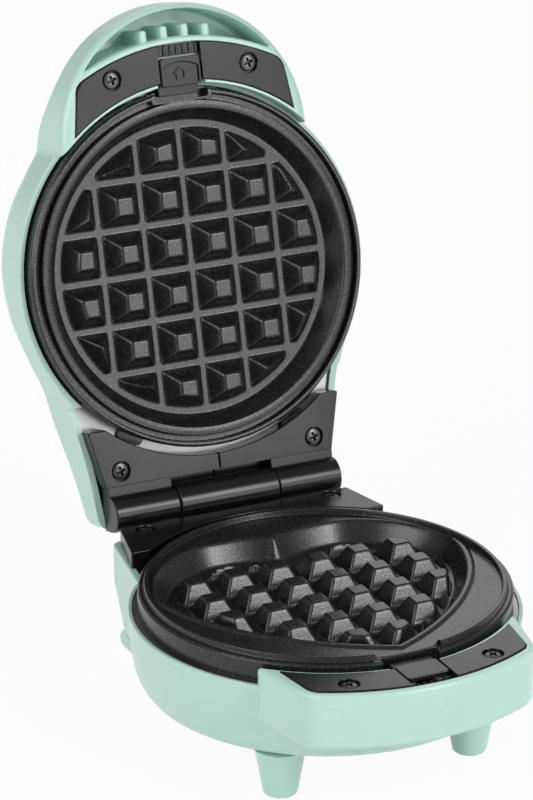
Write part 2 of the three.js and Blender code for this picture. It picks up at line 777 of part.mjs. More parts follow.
// The base's casing: round body, neck and front block, hollow, open below, with its rim towards +Z
function baseCasing() {
  const seat = -linerDrop - linerSheet - gap;
  const [slopeTop, slopeBottom] = baseSlope();
  const round = turned([
    [0, -baseSeamDrop], [baseSeamRadius, -baseSeamDrop], [sideRadius, -baseSideDrop],
    [rimRadius, -rimDrop], [0, -rimDrop],
  ]);
  const roundRoom = turned([
    [0, -baseSeamDrop - overrun], [baseSeamRadius - shellWall, -baseSeamDrop - overrun],
    [baseSeamRadius - shellWall, -baseSeamDrop], [sideRadius - shellWall, -baseSideDrop],
    [rimRadius - shellWall, seat], [rimRadius - ledgeWidth, seat],
    [rimRadius - ledgeWidth, -rimDrop + overrun], [0, -rimDrop + overrun],
  ]);
  const neck = cut(prism(neckOutline(baseNeckHalf, baseNeckBack, 0), -baseSeamDrop, -neckRimDrop),
    slopeCut(slopeTop, slopeBottom, 0));
  const neckInside = neckOutline(baseNeckHalf, baseNeckBack, shellWall);
  const neckRoom = cut(prism(neckInside, -baseSeamDrop - overrun, -neckRimDrop + overrun),
    slopeCut(slopeTop, slopeBottom, shellWall));
  const block = softPrism(blockOutline(0), -baseBlockDrop, baseBlockTop, blockEdge);
  const blockRoom = prism(blockOutline(shellWall), shellWall - baseBlockDrop, baseBlockTop - blockDeck);
  const plateRoom = cylinder(blockInner, seat, baseBlockTop + overrun, 0, 0, roundSides);
  const roundRim = cylinder(rimRadius - ledgeWidth, seat, -rimDrop + overrun, 0, 0, roundSides);
  const outer = cut(join(round, neck, block), plateRoom);
  const ring = cut(cylinder(rimRadius, -baseBlockDrop, -rimDrop, 0, 0, roundSides),
    cylinder(rimRadius - shellWall, -baseBlockDrop - overrun, -rimDrop + overrun, 0, 0, roundSides),
    cylinder(rimRadius - overrun, -linerDrop, overrun, 0, 0, roundSides));
  const hollowed = cut(join(outer, ring), roundRoom, neckRoom, blockRoom, roundRim);
  return join(hollowed, insertPosts(baseBlockTop));
}

// What the casing's front block holds: posts under the inserts, their recess and the catch's slot
function insertPosts(top) {
  const [low, high] = [top - blockDeck - postLength, top - blockDeck + gap];
  return mirrored((side) => cylinder(postRadius, low, high, side * insertScrewAcross, -insertScrewFront));
}

function blockCuts(top) {
  const floor = top + insertRise - insertThickness - gap;
  const recess = prism(insertOutline(gap), floor, top + overrun);
  const mouth = box(-slotHalf, slotHalf, -insertInner - gap, -blockInner + overrun, floor, top + overrun);
  const noseRoom = box(-catchHalf - catchPlay, catchHalf + catchPlay,
    -catchBack - noseWeb - catchTravel - catchPlay, -blockInner + overrun,
    Math.min(-notchDepth, floor), floor + overrun);
  const throat = box(-stemHalf - catchPlay, stemHalf + catchPlay,
    -stemFront - catchTravel - catchPlay, -stemBack + catchPlay, top - blockDeck - overrun, floor + overrun);
  const holes = mirrored((side) => cylinder(screwShankRadius + gap, floor - postLength, floor + overrun,
    side * insertScrewAcross, -insertScrewFront));
  return join(recess, mouth, noseRoom, throat, holes);
}

function baseShell() {
  const gland = rodAlong(glandRadius + gap, baseNeckBack - shellWall - overrun, baseNeckBack + overrun,
    0, -glandDrop);
  return cut(baseCasing(), blockCuts(baseBlockTop), gland);
}

// How far the lid's back lies behind the plate's face, and how round its edge is, from handle to hinge
function lidDepth(y) {
  return follow(y, [
    [-blockInner, lidHandleDrop], [-archCentreFront, lidBackDrop],
    [lidSlopeBack, lidBackDrop], [lidNeckBack, lidNeckDrop],
  ]);
}

function lidRounding(y) {
  return follow(y, [
    [-blockInner, handleRounding], [-archCentreFront, bodyRounding],
    [lidSideRadius * lidNeckRootShare, bodyRounding], [lidSlopeBack, neckRounding],
  ]);
}

// Where the handle's arch meets the lid's round side, on the right
function archMeet() {
  const difference = lidSideRadius * lidSideRadius - archRadius * archRadius;
  const front = (archCentreFront + difference / archCentreFront) / 2;
  return new THREE.Vector2(Math.sqrt(lidSideRadius * lidSideRadius - front * front), -front);
}

// Right half of the D-shaped arch, from its front to the round side
function archHalf() {
  const meet = archMeet();
  const endTurn = Math.atan2(meet.y + archCentreFront, meet.x);
  const points = [];
  for (let i = 0; i < archSteps; i += 1) {
    const turn = (endTurn + Math.PI / 2) * (i + 1 / 2) / (archSteps - 1 / 2) - Math.PI / 2;
    const [x, y] = [archRadius * Math.cos(turn), archRadius * Math.sin(turn) - archCentreFront];
    points.push(new THREE.Vector2(x, y));
  }
  return points;
}

function bothSides(right) {
  const left = right.map((point) => new THREE.Vector2(-point.x, point.y)).reverse();
  return [...right, ...left];
}

// The lid's outline: handle, round side, and a neck that leaves it smoothly
function lidOutline() {
  const meet = archMeet();
  const startTurn = Math.atan2(meet.y, meet.x);
  const rootTurn = Math.asin(lidNeckRootShare);
  const right = archHalf();
  for (let i = 1; i < bodySteps; i += 1) {
    const turn = startTurn + (rootTurn - startTurn) * i / bodySteps;
    right.push(new THREE.Vector2(lidSideRadius * Math.cos(turn), lidSideRadius * Math.sin(turn)));
  }
  const root = new THREE.Vector2(Math.cos(rootTurn), Math.sin(rootTurn)).multiplyScalar(lidSideRadius);
  const side = (y) => lidNeckHalf + lidNeckTaperShare * (lidNeckBack - y);
  const away = (root.x - side(root.y)) / (Math.sin(rootTurn) - lidNeckTaperShare * Math.cos(rootTurn));
  const bendBack = root.y + away * Math.cos(rootTurn);
  const neck = new THREE.Path();
  neck.moveTo(root.x, root.y);
  const cornerStart = lidNeckBack - lidNeckCorner;
  neck.quadraticCurveTo(side(bendBack), bendBack, side(cornerStart), cornerStart);
  neck.quadraticCurveTo(lidNeckHalf, lidNeckBack, lidNeckHalf - lidNeckCorner, lidNeckBack);
  return bothSides([...right, ...neck.getPoints(neckSteps)]);
}

// The lid's body, or with a shrink the room in it, up to a level. Its rings run from the handle to the
// hinge on the right and return on the left, so each pair of points closes one strip of the back.
function lidBody(shrink, top) {
  const wall = lidOutline();
  const roundings = wall.map((point) => lidRounding(point.y));
  const depths = insetEach(wall, roundings).map((point) => lidDepth(point.y));
  const rings = [];
  for (let step = roundingSteps; step >= 0; step -= 1) {
    const turn = Math.PI / 2 * step / roundingSteps;
    const distances = roundings.map((rounding) => rounding - (rounding - shrink) * Math.cos(turn));
    rings.push(insetEach(wall, distances).map((point, i) => new THREE.Vector3(
      point.x, point.y, roundings[i] - depths[i] - (roundings[i] - shrink) * Math.sin(turn))));
  }
  rings.push(inset(wall, shrink).map((point) => new THREE.Vector3(point.x, point.y, top)));
  const cap = [];
  for (let i = 0; i + 1 < wall.length / 2; i += 1) {
    const [p, q, r, s] = [i, i + 1, wall.length - 2 - i, wall.length - 1 - i];
    cap.push([p, q, r], [p, r, s]);
  }
  return skin(rings, cap, cap);
}

function lidShell() {
  const seat = -linerDrop - linerSheet - gap;
  const arch = bothSides(archHalf());
  const [front, far] = [blockRadius + handleReach + overrun, lidNeckBack + overrun];
  const upper = loft([
    { points: arch, z: -lidRimDrop - overrun },
    { points: arch, z: lidBlockTop - archEdge },
    { points: inset(arch, archEdge), z: lidBlockTop },
  ]);
  const neckTop = box(-lidSideRadius, lidSideRadius, lidNeckOpen, far, -neckRimDrop, overrun);
  const plateRoom = cylinder(blockInner, -lidRimDrop, lidBlockTop + overrun, 0, 0, roundSides);
  const lip = cylinder(lidLipRadius, seat - overrun, overrun, 0, 0, roundSides);
  const outer = cut(join(lidBody(0, -lidRimDrop), upper), neckTop, plateRoom);
  const neckRoom = prism(inset(lidOutline(), shellWall), seat - overrun, overrun)
    .intersect(box(-lidSideRadius, lidSideRadius, lidNeckOpen, far, seat - overrun, overrun));
  const pocketWall = cut(box(-lidSideRadius, lidSideRadius, -front, -blockInner, -lidBackDrop, lidBlockTop),
    cylinder(blockRadius - shellWall, -lidBackDrop - overrun, lidBlockTop + overrun, 0, 0, roundSides));
  const blockRoom = cut(prism(inset(arch, shellWall), seat - overrun, lidBlockTop - blockDeck),
    cylinder(stemBack - catchPlay, seat - overrun - overrun, lidBlockTop, 0, 0, roundSides));
  const room = join(cut(join(lidBody(shellWall, seat), blockRoom), pocketWall), neckRoom, lip);
  const pocket = cut(
    prism(inset(arch, archWall), -pocketDrop, lidBlockTop + overrun),
    cylinder(pocketInner, -pocketDrop - overrun, lidBlockTop + overrun + overrun, 0, 0, roundSides),
  );
  const ribs = [];
  for (let i = 0; i < ribCount; i += 1) {
    const x = (i - (ribCount - 1) / 2) * ribPitch;
    const foot = Math.sqrt(pocketInner * pocketInner - x * x);
    ribs.push(box(x - ribThickness / 2, x + ribThickness / 2, -foot - ribHeight, -foot + archWall / 2,
      -pocketDrop - gap, lidBlockTop - ribSetback));
  }
  const [lampLow, lampHigh] = [-lidBackDrop - overrun, shellWall - lidBackDrop + overrun];
  const lampHole = cylinder(lampRadius + gap, lampLow, lampHigh, 0, -lampFront);
  const body = join(cut(outer, room, pocket), ...ribs, insertPosts(lidBlockTop), mirrored(openStop));
  return cut(body, blockCuts(lidBlockTop), lampHole);
}

function openStop(side) {
  const x = side * stopAcross;
  const [wall, near, far] = [lidNeckBack - shellWall / 2, lidNeckBack + gap, lidNeckBack + stopReach];
  return sideways([
    [wall, -stopRoot], [far, stopReach - stopRoot], [far, stopTip], [near, stopTip], [near, -neckRimDrop],
    [wall, -neckRimDrop - shellWall / 2],
  ], x - stopHalf, x + stopHalf);
}

// Underside of the base with its four legs
function bottomCover() {
  const seam = -baseSeamDrop - gap;
  const dish = turned([
    [0, -baseBottomDrop], [baseBottomRadius, -baseBottomDrop], [baseSeamRadius, seam],
    [baseSeamRadius - shellWall, seam], [baseBottomRadius - shellWall, coverSheet - baseBottomDrop],
    [0, coverSheet - baseBottomDrop],
  ]);
  const [slopeTop, slopeBottom] = baseSlope();
  const sink = baseBottomDrop - baseSeamDrop;
  const foot = neckOutline(baseNeckHalf, baseNeckBack, 0);
  const tongue = cut(
    loft([{ points: inset(foot, sink), z: -baseBottomDrop }, { points: foot, z: seam }]),
    slopeCut(slopeTop, slopeBottom, 0),
  );
  const room = turned([
    [0, coverSheet - baseBottomDrop], [baseBottomRadius - shellWall, coverSheet - baseBottomDrop],
    [baseSeamRadius - shellWall, seam], [baseSeamRadius - shellWall, seam + overrun], [0, seam + overrun],
  ]);
  const inside = neckOutline(baseNeckHalf, baseNeckBack, shellWall + sink);
  const tongueRoom = cut(prism(inside, coverSheet - baseBottomDrop, seam + overrun),
    slopeCut(slopeTop, slopeBottom, shellWall));
  const body = cut(join(dish, tongue), room, tongueRoom);
  const holes = [1, -1].map((end) => mirrored((side) => coverScrewHole(side, end)));
  return cut(join(body, mirrored(frontLeg), mirrored(rearLeg)), mirrored(frontLegBore), ...holes);
}

function frontLeg(side) {
  const [x, y] = [side * legAcross, -legFront];
  return loft([
    { points: circle(legBottomRadius - legEdge, legSides, x, y), z: -standHeight },
    { points: circle(legBottomRadius, legSides, x, y), z: legEdge - standHeight },
    { points: circle(legTopRadius, legSides, x, y), z: coverSheet / 2 - baseBottomDrop },
  ]);
}

function frontLegBore(side) {
  const [x, y] = [side * legAcross, -legFront];
  const [low, high] = [shellWall + shellWall - standHeight, coverSheet + overrun - baseBottomDrop];
  return loft([
    { points: circle(legBottomRadius * legBoreShare, smallSides, x, y), z: low },
    { points: circle(legTopRadius * legBoreShare, smallSides, x, y), z: high },
  ]);
}

function rearLeg(side) {
  const x = side * rearLegAcross;
  const toeTop = rearLegToeHeight - standHeight;
  const rootStart = baseBottomRadius - rearLegRootInset;
  const rootEnd = baseNeckBack - baseNeckSlopeHeight;
  return sideways([
    [rootStart, coverSheet / 2 - baseBottomDrop],
    [rootStart, -baseBottomDrop],
    [rearLegToeFront, -standHeight],
    [rearLegToeBack - legEdge - legEdge, -standHeight],
    [rearLegToeBack, legEdge + legEdge - standHeight],
    [rearLegToeBack, toeTop],
    [rearLegKneeBack + gap, -rearLegKneeDrop],
    [rearLegKneeBack - legEdge - legEdge, -rearLegKneeDrop],
    [rootEnd + gap, -baseSeamDrop - gap - gap],
    [baseBottomRadius, coverSheet / 2 - baseBottomDrop],
  ], x - rearLegThickness / 2, x + rearLegThickness / 2);
}

function coverScrewPlace(side, end) {
  const turn = THREE.MathUtils.degToRad(coverScrewAngleDegrees);
  return [side * coverScrewRadius * Math.sin(turn), end * coverScrewRadius * Math.cos(turn)];
}

function coverScrewHole(side, end) {
  const [x, y] = coverScrewPlace(side, end);
  return join(
    cylinder(screwShankRadius + gap, -baseBottomDrop - overrun, coverSheet + overrun - baseBottomDrop, x, y),
    cylinder(screwHeadRadius + gap, -baseBottomDrop - overrun, screwHeadHeight / 2 - baseBottomDrop, x, y),
  );
}

// Liner: a sheet on the casing's ledge, with a bowl for the heater. It reaches back into the casing's neck.
function liner(edge, neck, neckStart) {
  const top = -linerDrop;
  const low = top - linerSheet;
  const end = bracketBack - postRadius - postRadius;
  const middleEnd = bracketMiddleBack - guardThickness - gap - gap;
  const keep = join(
    box(-rimRadius, rimRadius, neckStart, end, low - overrun, top + overrun),
    box(-middleKnuckleHalf, middleKnuckleHalf, neckStart, middleEnd, low - overrun, top + overrun),
  );
  const sheet = join(cylinder(edge, low, top, 0, 0, roundSides), prism(neck, low, top).intersect(keep));
  const bowl = turned([[0, -bowlDrop], [bowlFloorRadius, -bowlDrop], [bowlRadius, top], [0, top]]);
  const room = turned([
    [0, linerSheet - bowlDrop], [bowlFloorRadius - linerSheet, linerSheet - bowlDrop],
    [bowlRadius - linerSheet, top], [bowlRadius - linerSheet, top + overrun], [0, top + overrun],
  ]);
  const holes = mirrored((side) => {
    const [x, y] = heaterEnd(side);
    const reach = heaterTube + gap + gap;
    const [left, right] = [x - side * reach, x + side * (reach + heaterBend)].sort((a, b) => a - b);
    return box(left, right, y - reach, y + reach, -bowlDrop - overrun, linerSheet + overrun - bowlDrop);
  });
  return cut(join(sheet, bowl), room, holes);
}

// Heater: a ring of tube under the plate, both ends bent down through the liner
function heaterEnd(side) {
  const turn = THREE.MathUtils.degToRad(heaterOpeningDegrees / 2);
  return [side * heaterRadius * Math.sin(turn), heaterRadius * Math.cos(turn)];
}

function heaterLevel() {
  return -roundDepth - castFloor - gap - gap - heaterTube;
}

function heater() {
  const level = heaterLevel();
  const spread = THREE.MathUtils.degToRad(heaterOpeningDegrees / 2);
  const bend = heaterBend / heaterRadius;
  const points = [];
  const end = (side) => {
    const [x, y] = heaterEnd(side);
    return [
      new THREE.Vector3(x, y, level - heaterBend - heaterLegLength),
      new THREE.Vector3(x, y, level - heaterBend),
    ];
  };
  points.push(...end(1));
  const [start, round] = [Math.PI / 2 - spread - bend, 2 * (Math.PI - spread - bend)];
  for (let i = 0; i <= heaterRingSteps; i += 1) {
    const turn = start - round * i / heaterRingSteps;
    points.push(new THREE.Vector3(heaterRadius * Math.cos(turn), heaterRadius * Math.sin(turn), level));
  }
  points.push(...end(-1).reverse());
  const curve = new THREE.CatmullRomCurve3(points, false, 'centripetal');
  return solid(tube(curve, heaterTube, heaterSides, heaterSteps));
}

function thermostat() {
  const low = linerSheet - bowlDrop + gap;
  const high = -heartDepth - castFloor - gap;
  return join(
    cylinder(thermostatRadius, low, low + thermostatBase, 0, 0, smallSides),
    cylinder(thermostatCapRadius, low + thermostatBase / 2, high, 0, 0, smallSides),
  );
}

function thermalFuse() {
  const z = -bowlDrop - gap - fuseRadius;
  return join(
    rodAlong(fuseRadius, -fuseLength / 2, fuseLength / 2, fuseAcross, z, fuseSides),
    rodAlong(fuseRadius * fuseWireShare, -fuseLength, fuseLength, fuseAcross, z, fuseWireSides),
  );
}

function terminalBlock() {
  const low = coverSheet - baseBottomDrop + gap;
  const high = low + terminalHeight;
  const [half, back] = [terminalLength / 2, terminalBack + terminalWidth / 2];
  const ribs = [];
  for (let i = 0; i < terminalRibs; i += 1) {
    const x = (i / (terminalRibs - 1) - 1 / 2) * (terminalLength - terminalRibWidth);
    ribs.push(box(x - terminalRibWidth / 2, x + terminalRibWidth / 2, terminalBack - terminalWidth / 2, back,
      high - gap, high + terminalRibHeight));
  }
  return join(box(-half, half, terminalBack - terminalWidth / 2, back, low, high), ...ribs);
}

function glandBody() {
  const inside = baseNeckBack - shellWall - glandFlangeThickness - gap;
  const outside = baseNeckBack + gap;
  return cut(
    join(
      rodAlong(glandRadius, inside, outside + overrun, 0, -glandDrop),
      rodAlong(glandFlangeRadius, outside, outside + glandFlangeThickness, 0, -glandDrop),
      rodAlong(glandFlangeRadius, inside, inside + glandFlangeThickness, 0, -glandDrop),
    ),
    rodAlong(glandBore, inside - overrun, outside + glandFlangeThickness + overrun, 0, -glandDrop),
  );
}

// A lead from the terminal block to one of the heater's ends
function lead(side) {
  const [x, y] = heaterEnd(side);
  const across = side * terminalLength / 4;
  const start = terminalBack + terminalWidth / 2 + gap;
  const z = coverSheet - baseBottomDrop + gap + terminalHeight / 2;
  const low = heaterLevel() - heaterBend - heaterLegLength - gap;
  const curve = new THREE.CatmullRomCurve3([
    new THREE.Vector3(x, y, low),
    new THREE.Vector3(x, y, low - wireSpacing),
    new THREE.Vector3(across, start + wireSpacing, z),
    new THREE.Vector3(across, start, z),
  ], false, 'centripetal');
  return solid(tube(curve, wireRadius, wireSides, leadSteps));
}

function lamp() {
  const seat = -lidBackDrop + shellWall + gap;
  const bulbSeat = seat + lampDome + gap;
  const [acrossShare, domeShare] = lampShoulderShares;
  return {
    lens: turned([
      [0, -lidBackDrop - lampDome], [lampRadius * acrossShare, -lidBackDrop - lampDome * domeShare],
      [lampRadius, -lidBackDrop], [lampRadius, seat], [lampFlangeRadius, seat],
      [lampFlangeRadius, seat + lampDome], [0, seat + lampDome],
    ], smallSides).translate([0, -lampFront, 0]),
    bulb: cylinder(lampBodyRadius, bulbSeat, bulbSeat + lampBodyLength, 0, -lampFront),
  };
}

// Fastenings

function screw(x, y, top) {
  const body = join(
    cylinder(screwHeadRadius, top - screwHeadHeight, top, x, y),
    cylinder(screwShankRadius, top - screwLength, top - screwHeadHeight / 2, x, y, shankSides),
  );
  const [half, width] = [screwSlotLength / 2, screwSlotWidth / 2];
  return cut(body,
    box(x - half, x + half, y - width, y + width, top - screwSlotDepth, top + overrun),
    box(x - width, x + width, y - half, y + half, top - screwSlotDepth, top + overrun));
}

function screwRoom(x, y, top) {
  return join(
    cylinder(screwHeadRadius + gap, top - screwHeadHeight - gap, top + overrun + overrun, x, y),
    cylinder(screwShankRadius + gap, top - screwLength - overrun, top, x, y, shankSides),
  );
}

// Two screws, named for the side that each is on
function screwPair(name, across, y, top, leftSide = -1) {
  return [['left', leftSide], ['right', -leftSide]].map(([word, side]) => (
    piece(`${name}_${word}`, screw(side * across, y, top - screwSink), screwSteel)));
}

function insert(side, top) {
  const face = top + insertRise;
  const half = side > 0
    ? box(slotHalf, blockRadius, -blockRadius, 0, face - insertThickness - overrun, face + overrun)
    : box(-blockRadius, -slotHalf, -blockRadius, 0, face - insertThickness - overrun, face + overrun);
  const body = prism(insertOutline(0), face - insertThickness, face).intersect(half);
  return cut(body, screwRoom(side * insertScrewAcross, -insertScrewFront, face - screwSink));
}

// Catch: a slide with a lip for the finger, a nose over the plate's notch and a stem through the slot
function catchSlide(top) {
  const face = top + insertRise;
  const low = face - catchThickness + gap;
  const thinned = box(-catchHalf - overrun, catchHalf + overrun, -catchFront - overrun,
    catchTravel - catchFront, low - overrun, face - catchThin);
  const slab = cut(box(-catchHalf, catchHalf, -catchFront, -catchBack, low, face), thinned);
  const scoop = cylinder(catchScoopRadius, face - catchLip, face + overrun,
    0, -catchFront + catchLipWidth + catchScoopRadius, catchScoopSides)
    .intersect(box(-catchHalf - overrun, catchHalf + overrun, -catchFront, -catchBack + overrun,
      face - catchLip, face + overrun + overrun));
  const noseLow = -notchDepth + gap;
  const noseTop = noseLow + noseThickness;
  const nose = join(
    box(-catchHalf, catchHalf, -catchBack - overrun, -catchBack + noseReach, noseLow, noseTop),
    box(-catchHalf, catchHalf, -catchBack - noseWeb, -catchBack, noseLow, face - catchLip),
  );
  const under = top - blockDeck - gap;
  const stem = box(-stemHalf, stemHalf, -stemFront, -stemBack, under - overrun, low + overrun);
  const foot = box(-footHalf, footHalf, -stemFront, -stemBack, under - footHeight, under);
  return join(cut(slab, scoop), nose, stem, foot);
}

function catchGuide(top) {
  const low = top + insertRise - insertThickness;
  const back = -catchFront - gap - gap;
  const front = -Math.sqrt(insertOuter * insertOuter - catchHalf * catchHalf);
  const ribs = [];
  for (let i = 0; i < guideRibs; i += 1) {
    const x = (i / (guideRibs - 1) - 1 / 2) * (catchHalf + catchHalf - guideRibWidth);
    ribs.push(box(x - guideRibWidth / 2, x + guideRibWidth / 2, front, back,
      low + guideHeight / 2, low + guideHeight + guideRibHeight));
  }
  return join(box(-catchHalf, catchHalf, front, back, low, low + guideHeight), ...ribs);
}

function catchSpring(top) {
  const z = top - blockDeck - gap - footHeight / 2;
  const [back, front] = [-stemFront - gap - springWire / 2, shellWall + gap + springWire / 2 - blockRadius];
  const points = [];
  const count = springTurns * springSteps;
  for (let i = 0; i <= count; i += 1) {
    const turn = 2 * Math.PI * i / springSteps;
    const y = back + (front - back) * i / count;
    points.push(new THREE.Vector3(springRadius * Math.cos(turn), y, z + springRadius * Math.sin(turn)));
  }
  const curve = new THREE.CatmullRomCurve3(points);
  return solid(tube(curve, springWire / 2, springSides, count));
}

// Hinge brackets

function bracketOutline() {
  const turn = Math.acos(bracketShoulder / bracketInner);
  const shape = new THREE.Shape();
  shape.moveTo(-bracketHalfFront, bracketFront);
  shape.lineTo(-bracketShoulder, bracketInner * Math.sin(turn));
  shape.absarc(0, 0, bracketInner, Math.PI - turn, turn, true);
  shape.lineTo(bracketHalfFront, bracketFront);
  shape.lineTo(bracketHalfBack, bracketBack);
  shape.lineTo(-bracketHalfBack, bracketBack);
  return outline(shape, arcSteps);
}

// A knuckle on a web that runs back from the bracket to a given place and height
function knuckle(left, right, radius, height, webBack, webTop) {
  const web = box(left, right, bracketMiddleBack, webBack, bracketTop - bracketThickness, webTop);
  return cut(join(roller(radius, left, right, hingeBack, height, knuckleSides), web),
    roller(pinRadius + gap, left - overrun, right + overrun, hingeBack, height, smallSides));
}

function baseBracket() {
  const low = bracketTop - bracketThickness;
  const slab = softPrism(bracketOutline(), low, bracketTop, gap);
  const body = join(slab, knuckle(-middleKnuckleHalf, middleKnuckleHalf, knuckleRadius + middleKnuckleExtra,
    hingeRise, hingeBack, low + webThickness));
  return cut(body, mirrored((side) => (
    screwRoom(side * baseBracketScrewAcross, baseBracketScrewBack, bracketTop - screwSink))));
}

// A lid bracket: slab, outer knuckle with a square back, and half of the guard behind the middle knuckle
function lidBracket(side) {
  const low = bracketTop - bracketThickness;
  const slab = softPrism(bracketOutline(), low, bracketTop, gap);
  const inner = middleKnuckleHalf + gap;
  const height = partingGap - hingeRise;
  const [left, right] = side > 0 ? [inner, hingeHalf] : [-hingeHalf, -inner];
  const guardTop = height - knuckleRadius - middleKnuckleExtra - gap;
  const guardLow = guardTop - guardThickness;
  const guard = join(
    box(-inner - overrun, inner + overrun, bracketMiddleBack - guardThickness, hingeBack + webThickness,
      guardLow, guardTop),
    box(-inner - overrun, inner + overrun, bracketMiddleBack - guardThickness, bracketMiddleBack,
      guardLow, bracketTop - gap),
  );
  const keep = side > 0
    ? box(bracketSlit / 2, rimRadius, 0, lidNeckBack, guardLow - overrun, knuckleRadius + overrun)
    : box(-rimRadius, -bracketSlit / 2, 0, lidNeckBack, guardLow - overrun, knuckleRadius + overrun);
  const middle = box(-inner, inner, bracketMiddleBack, lidNeckBack, low - overrun, overrun);
  const outer = knuckle(left, right, knuckleRadius, height, hingeBack + knuckleRadius, height);
  const body = join(cut(slab, middle), guard).intersect(keep);
  return cut(join(body, outer),
    screwRoom(side * lidBracketScrewAcross, lidBracketScrewBack, bracketTop - screwSink));
}

function hingePin() {
  return roller(pinRadius, -hingeHalf, hingeHalf, hingeBack, hingeRise, smallSides);
}

// Assembly. A half's pieces are made with the plate's face at height zero, facing up.

function coverScrews() {
  const places = [['front_left', -1, -1], ['front_right', 1, -1], ['rear_left', -1, 1], ['rear_right', 1, 1]];
  return places.map(([word, side, end]) => {
    const [x, y] = coverScrewPlace(side, end);
    const body = screw(x, -y, 0).rotate([180, 0, 0]).translate([0, 0, -baseBottomDrop - screwHeadHeight / 2]);
    return piece(`bottom_cover_screw_${word}`, body, screwSteel);
  });
}

function baseHalf() {
  const half = new THREE.Group();
  half.add(
    piece('base_shell', baseShell(), mint),
    piece('bottom_cover', bottomCover(), mint),
    ...coverScrews(),
    piece('base_liner', liner(rimRadius - ledgeWidth - gap,
      neckOutline(baseNeckHalf, baseNeckBack, shellWall + gap), 0), sheetMetal),
    piece('lower_plate', lowerPlate(), castBlack),
    piece('lower_heating_element', heater(), heaterSteel),
    piece('thermostat', thermostat(), ceramic),
    piece('thermal_fuse', thermalFuse(), heaterSteel),
    piece('terminal_block', terminalBlock(), ceramic),
    piece('heater_lead_left', lead(-1), wireSleeve),
    piece('heater_lead_right', lead(1), wireSleeve),
    piece('cord_gland', glandBody(), blackPlastic),
    piece('base_insert_left', insert(-1, baseBlockTop), blackPlastic),
    piece('base_insert_right', insert(1, baseBlockTop), blackPlastic),
    ...screwPair('base_insert_screw', insertScrewAcross, -insertScrewFront, baseBlockTop + insertRise),
    piece('base_catch', catchSlide(baseBlockTop), blackPlastic),
    piece('base_catch_guide', catchGuide(baseBlockTop), blackPlastic),
    piece('base_catch_spring', catchSpring(baseBlockTop), springSteel),
    piece('base_hinge_bracket', baseBracket(), blackPlastic),
    ...screwPair('base_hinge_screw', baseBracketScrewAcross, baseBracketScrewBack, bracketTop),
    piece('hinge_pin', hingePin(), springSteel),
  );
  return half;
}

function lidHalf() {
  const half = new THREE.Group();
  const { lens, bulb } = lamp();
  half.add(
    piece('lid_shell', lidShell(), mint),
    piece('lid_liner', liner(lidLipRadius - gap,
      inset(lidOutline(), shellWall + gap), lidNeckOpen + gap), sheetMetal),
    piece('upper_plate', upperPlate(), castBlack),
    piece('upper_heating_element', heater(), heaterSteel),
    piece('lid_insert_left', insert(1, lidBlockTop), blackPlastic),
    piece('lid_insert_right', insert(-1, lidBlockTop), blackPlastic),
    ...screwPair('lid_insert_screw', insertScrewAcross, -insertScrewFront, lidBlockTop + insertRise, 1),
    piece('lid_catch', catchSlide(lidBlockTop), blackPlastic),
    piece('lid_catch_guide', catchGuide(lidBlockTop), blackPlastic),
    piece('lid_catch_spring', catchSpring(lidBlockTop), springSteel),
    piece('lid_hinge_bracket_left', lidBracket(1), blackPlastic),
    piece('lid_hinge_bracket_right', lidBracket(-1), blackPlastic),
    ...screwPair('lid_hinge_screw', lidBracketScrewAcross, lidBracketScrewBack, bracketTop, 1),
    piece('lamp_lens', lens, lampPlastic),
    piece('lamp_body', bulb, ceramic),
  );
  return half;
}

const base = baseHalf();

const lidFace = lidHalf();
lidFace.rotation.y = Math.PI;
lidFace.position.set(0, -hingeBack, partingGap - hingeRise);
const lid = new THREE.Group();
lid.add(lidFace);
lid.position.set(0, hingeBack, hingeRise);
lid.rotation.x = -THREE.MathUtils.degToRad(openAngleDegrees);

const maker = new THREE.Group();
maker.add(base, lid);
maker.updateMatrixWorld(true);
const extent = new THREE.Box3().setFromObject(maker, true);
const centre = extent.getCenter(new THREE.Vector3());
maker.position.set(-centre.x, -centre.y, -extent.min.z);

export default maker;
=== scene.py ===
"""Looks of the mini waffle maker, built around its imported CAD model.

Pieces are modelled in millimetres in the frame of the half that they belong to: the middle of the
plate's face at the origin, the handle at -Y, the hinge at +Y, and the face looking up.
"""

import math

import bmesh
import bpy
import numpy as np
from mathutils import Matrix, Vector


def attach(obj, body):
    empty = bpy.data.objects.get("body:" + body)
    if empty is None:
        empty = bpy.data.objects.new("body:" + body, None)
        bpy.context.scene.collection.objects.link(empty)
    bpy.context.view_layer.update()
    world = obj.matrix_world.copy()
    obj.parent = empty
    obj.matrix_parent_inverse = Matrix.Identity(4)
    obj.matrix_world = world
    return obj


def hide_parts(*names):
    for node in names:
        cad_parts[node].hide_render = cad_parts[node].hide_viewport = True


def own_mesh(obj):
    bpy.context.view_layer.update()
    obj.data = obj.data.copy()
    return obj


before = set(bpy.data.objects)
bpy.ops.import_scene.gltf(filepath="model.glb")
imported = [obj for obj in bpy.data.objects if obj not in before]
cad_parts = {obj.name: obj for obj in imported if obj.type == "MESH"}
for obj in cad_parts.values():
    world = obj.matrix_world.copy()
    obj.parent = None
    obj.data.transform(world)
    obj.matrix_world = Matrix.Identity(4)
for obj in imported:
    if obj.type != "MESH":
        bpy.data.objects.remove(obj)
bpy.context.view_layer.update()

# Where the two halves lie in the part's frame, in millimetres
STAND_HEIGHT = 53.5
CENTRE_SHIFT = 29.7134
HINGE_BACK = 82
HINGE_RISE = 0.8
PARTING_GAP = 0.5
OPEN_ANGLE = math.radians(103.84)

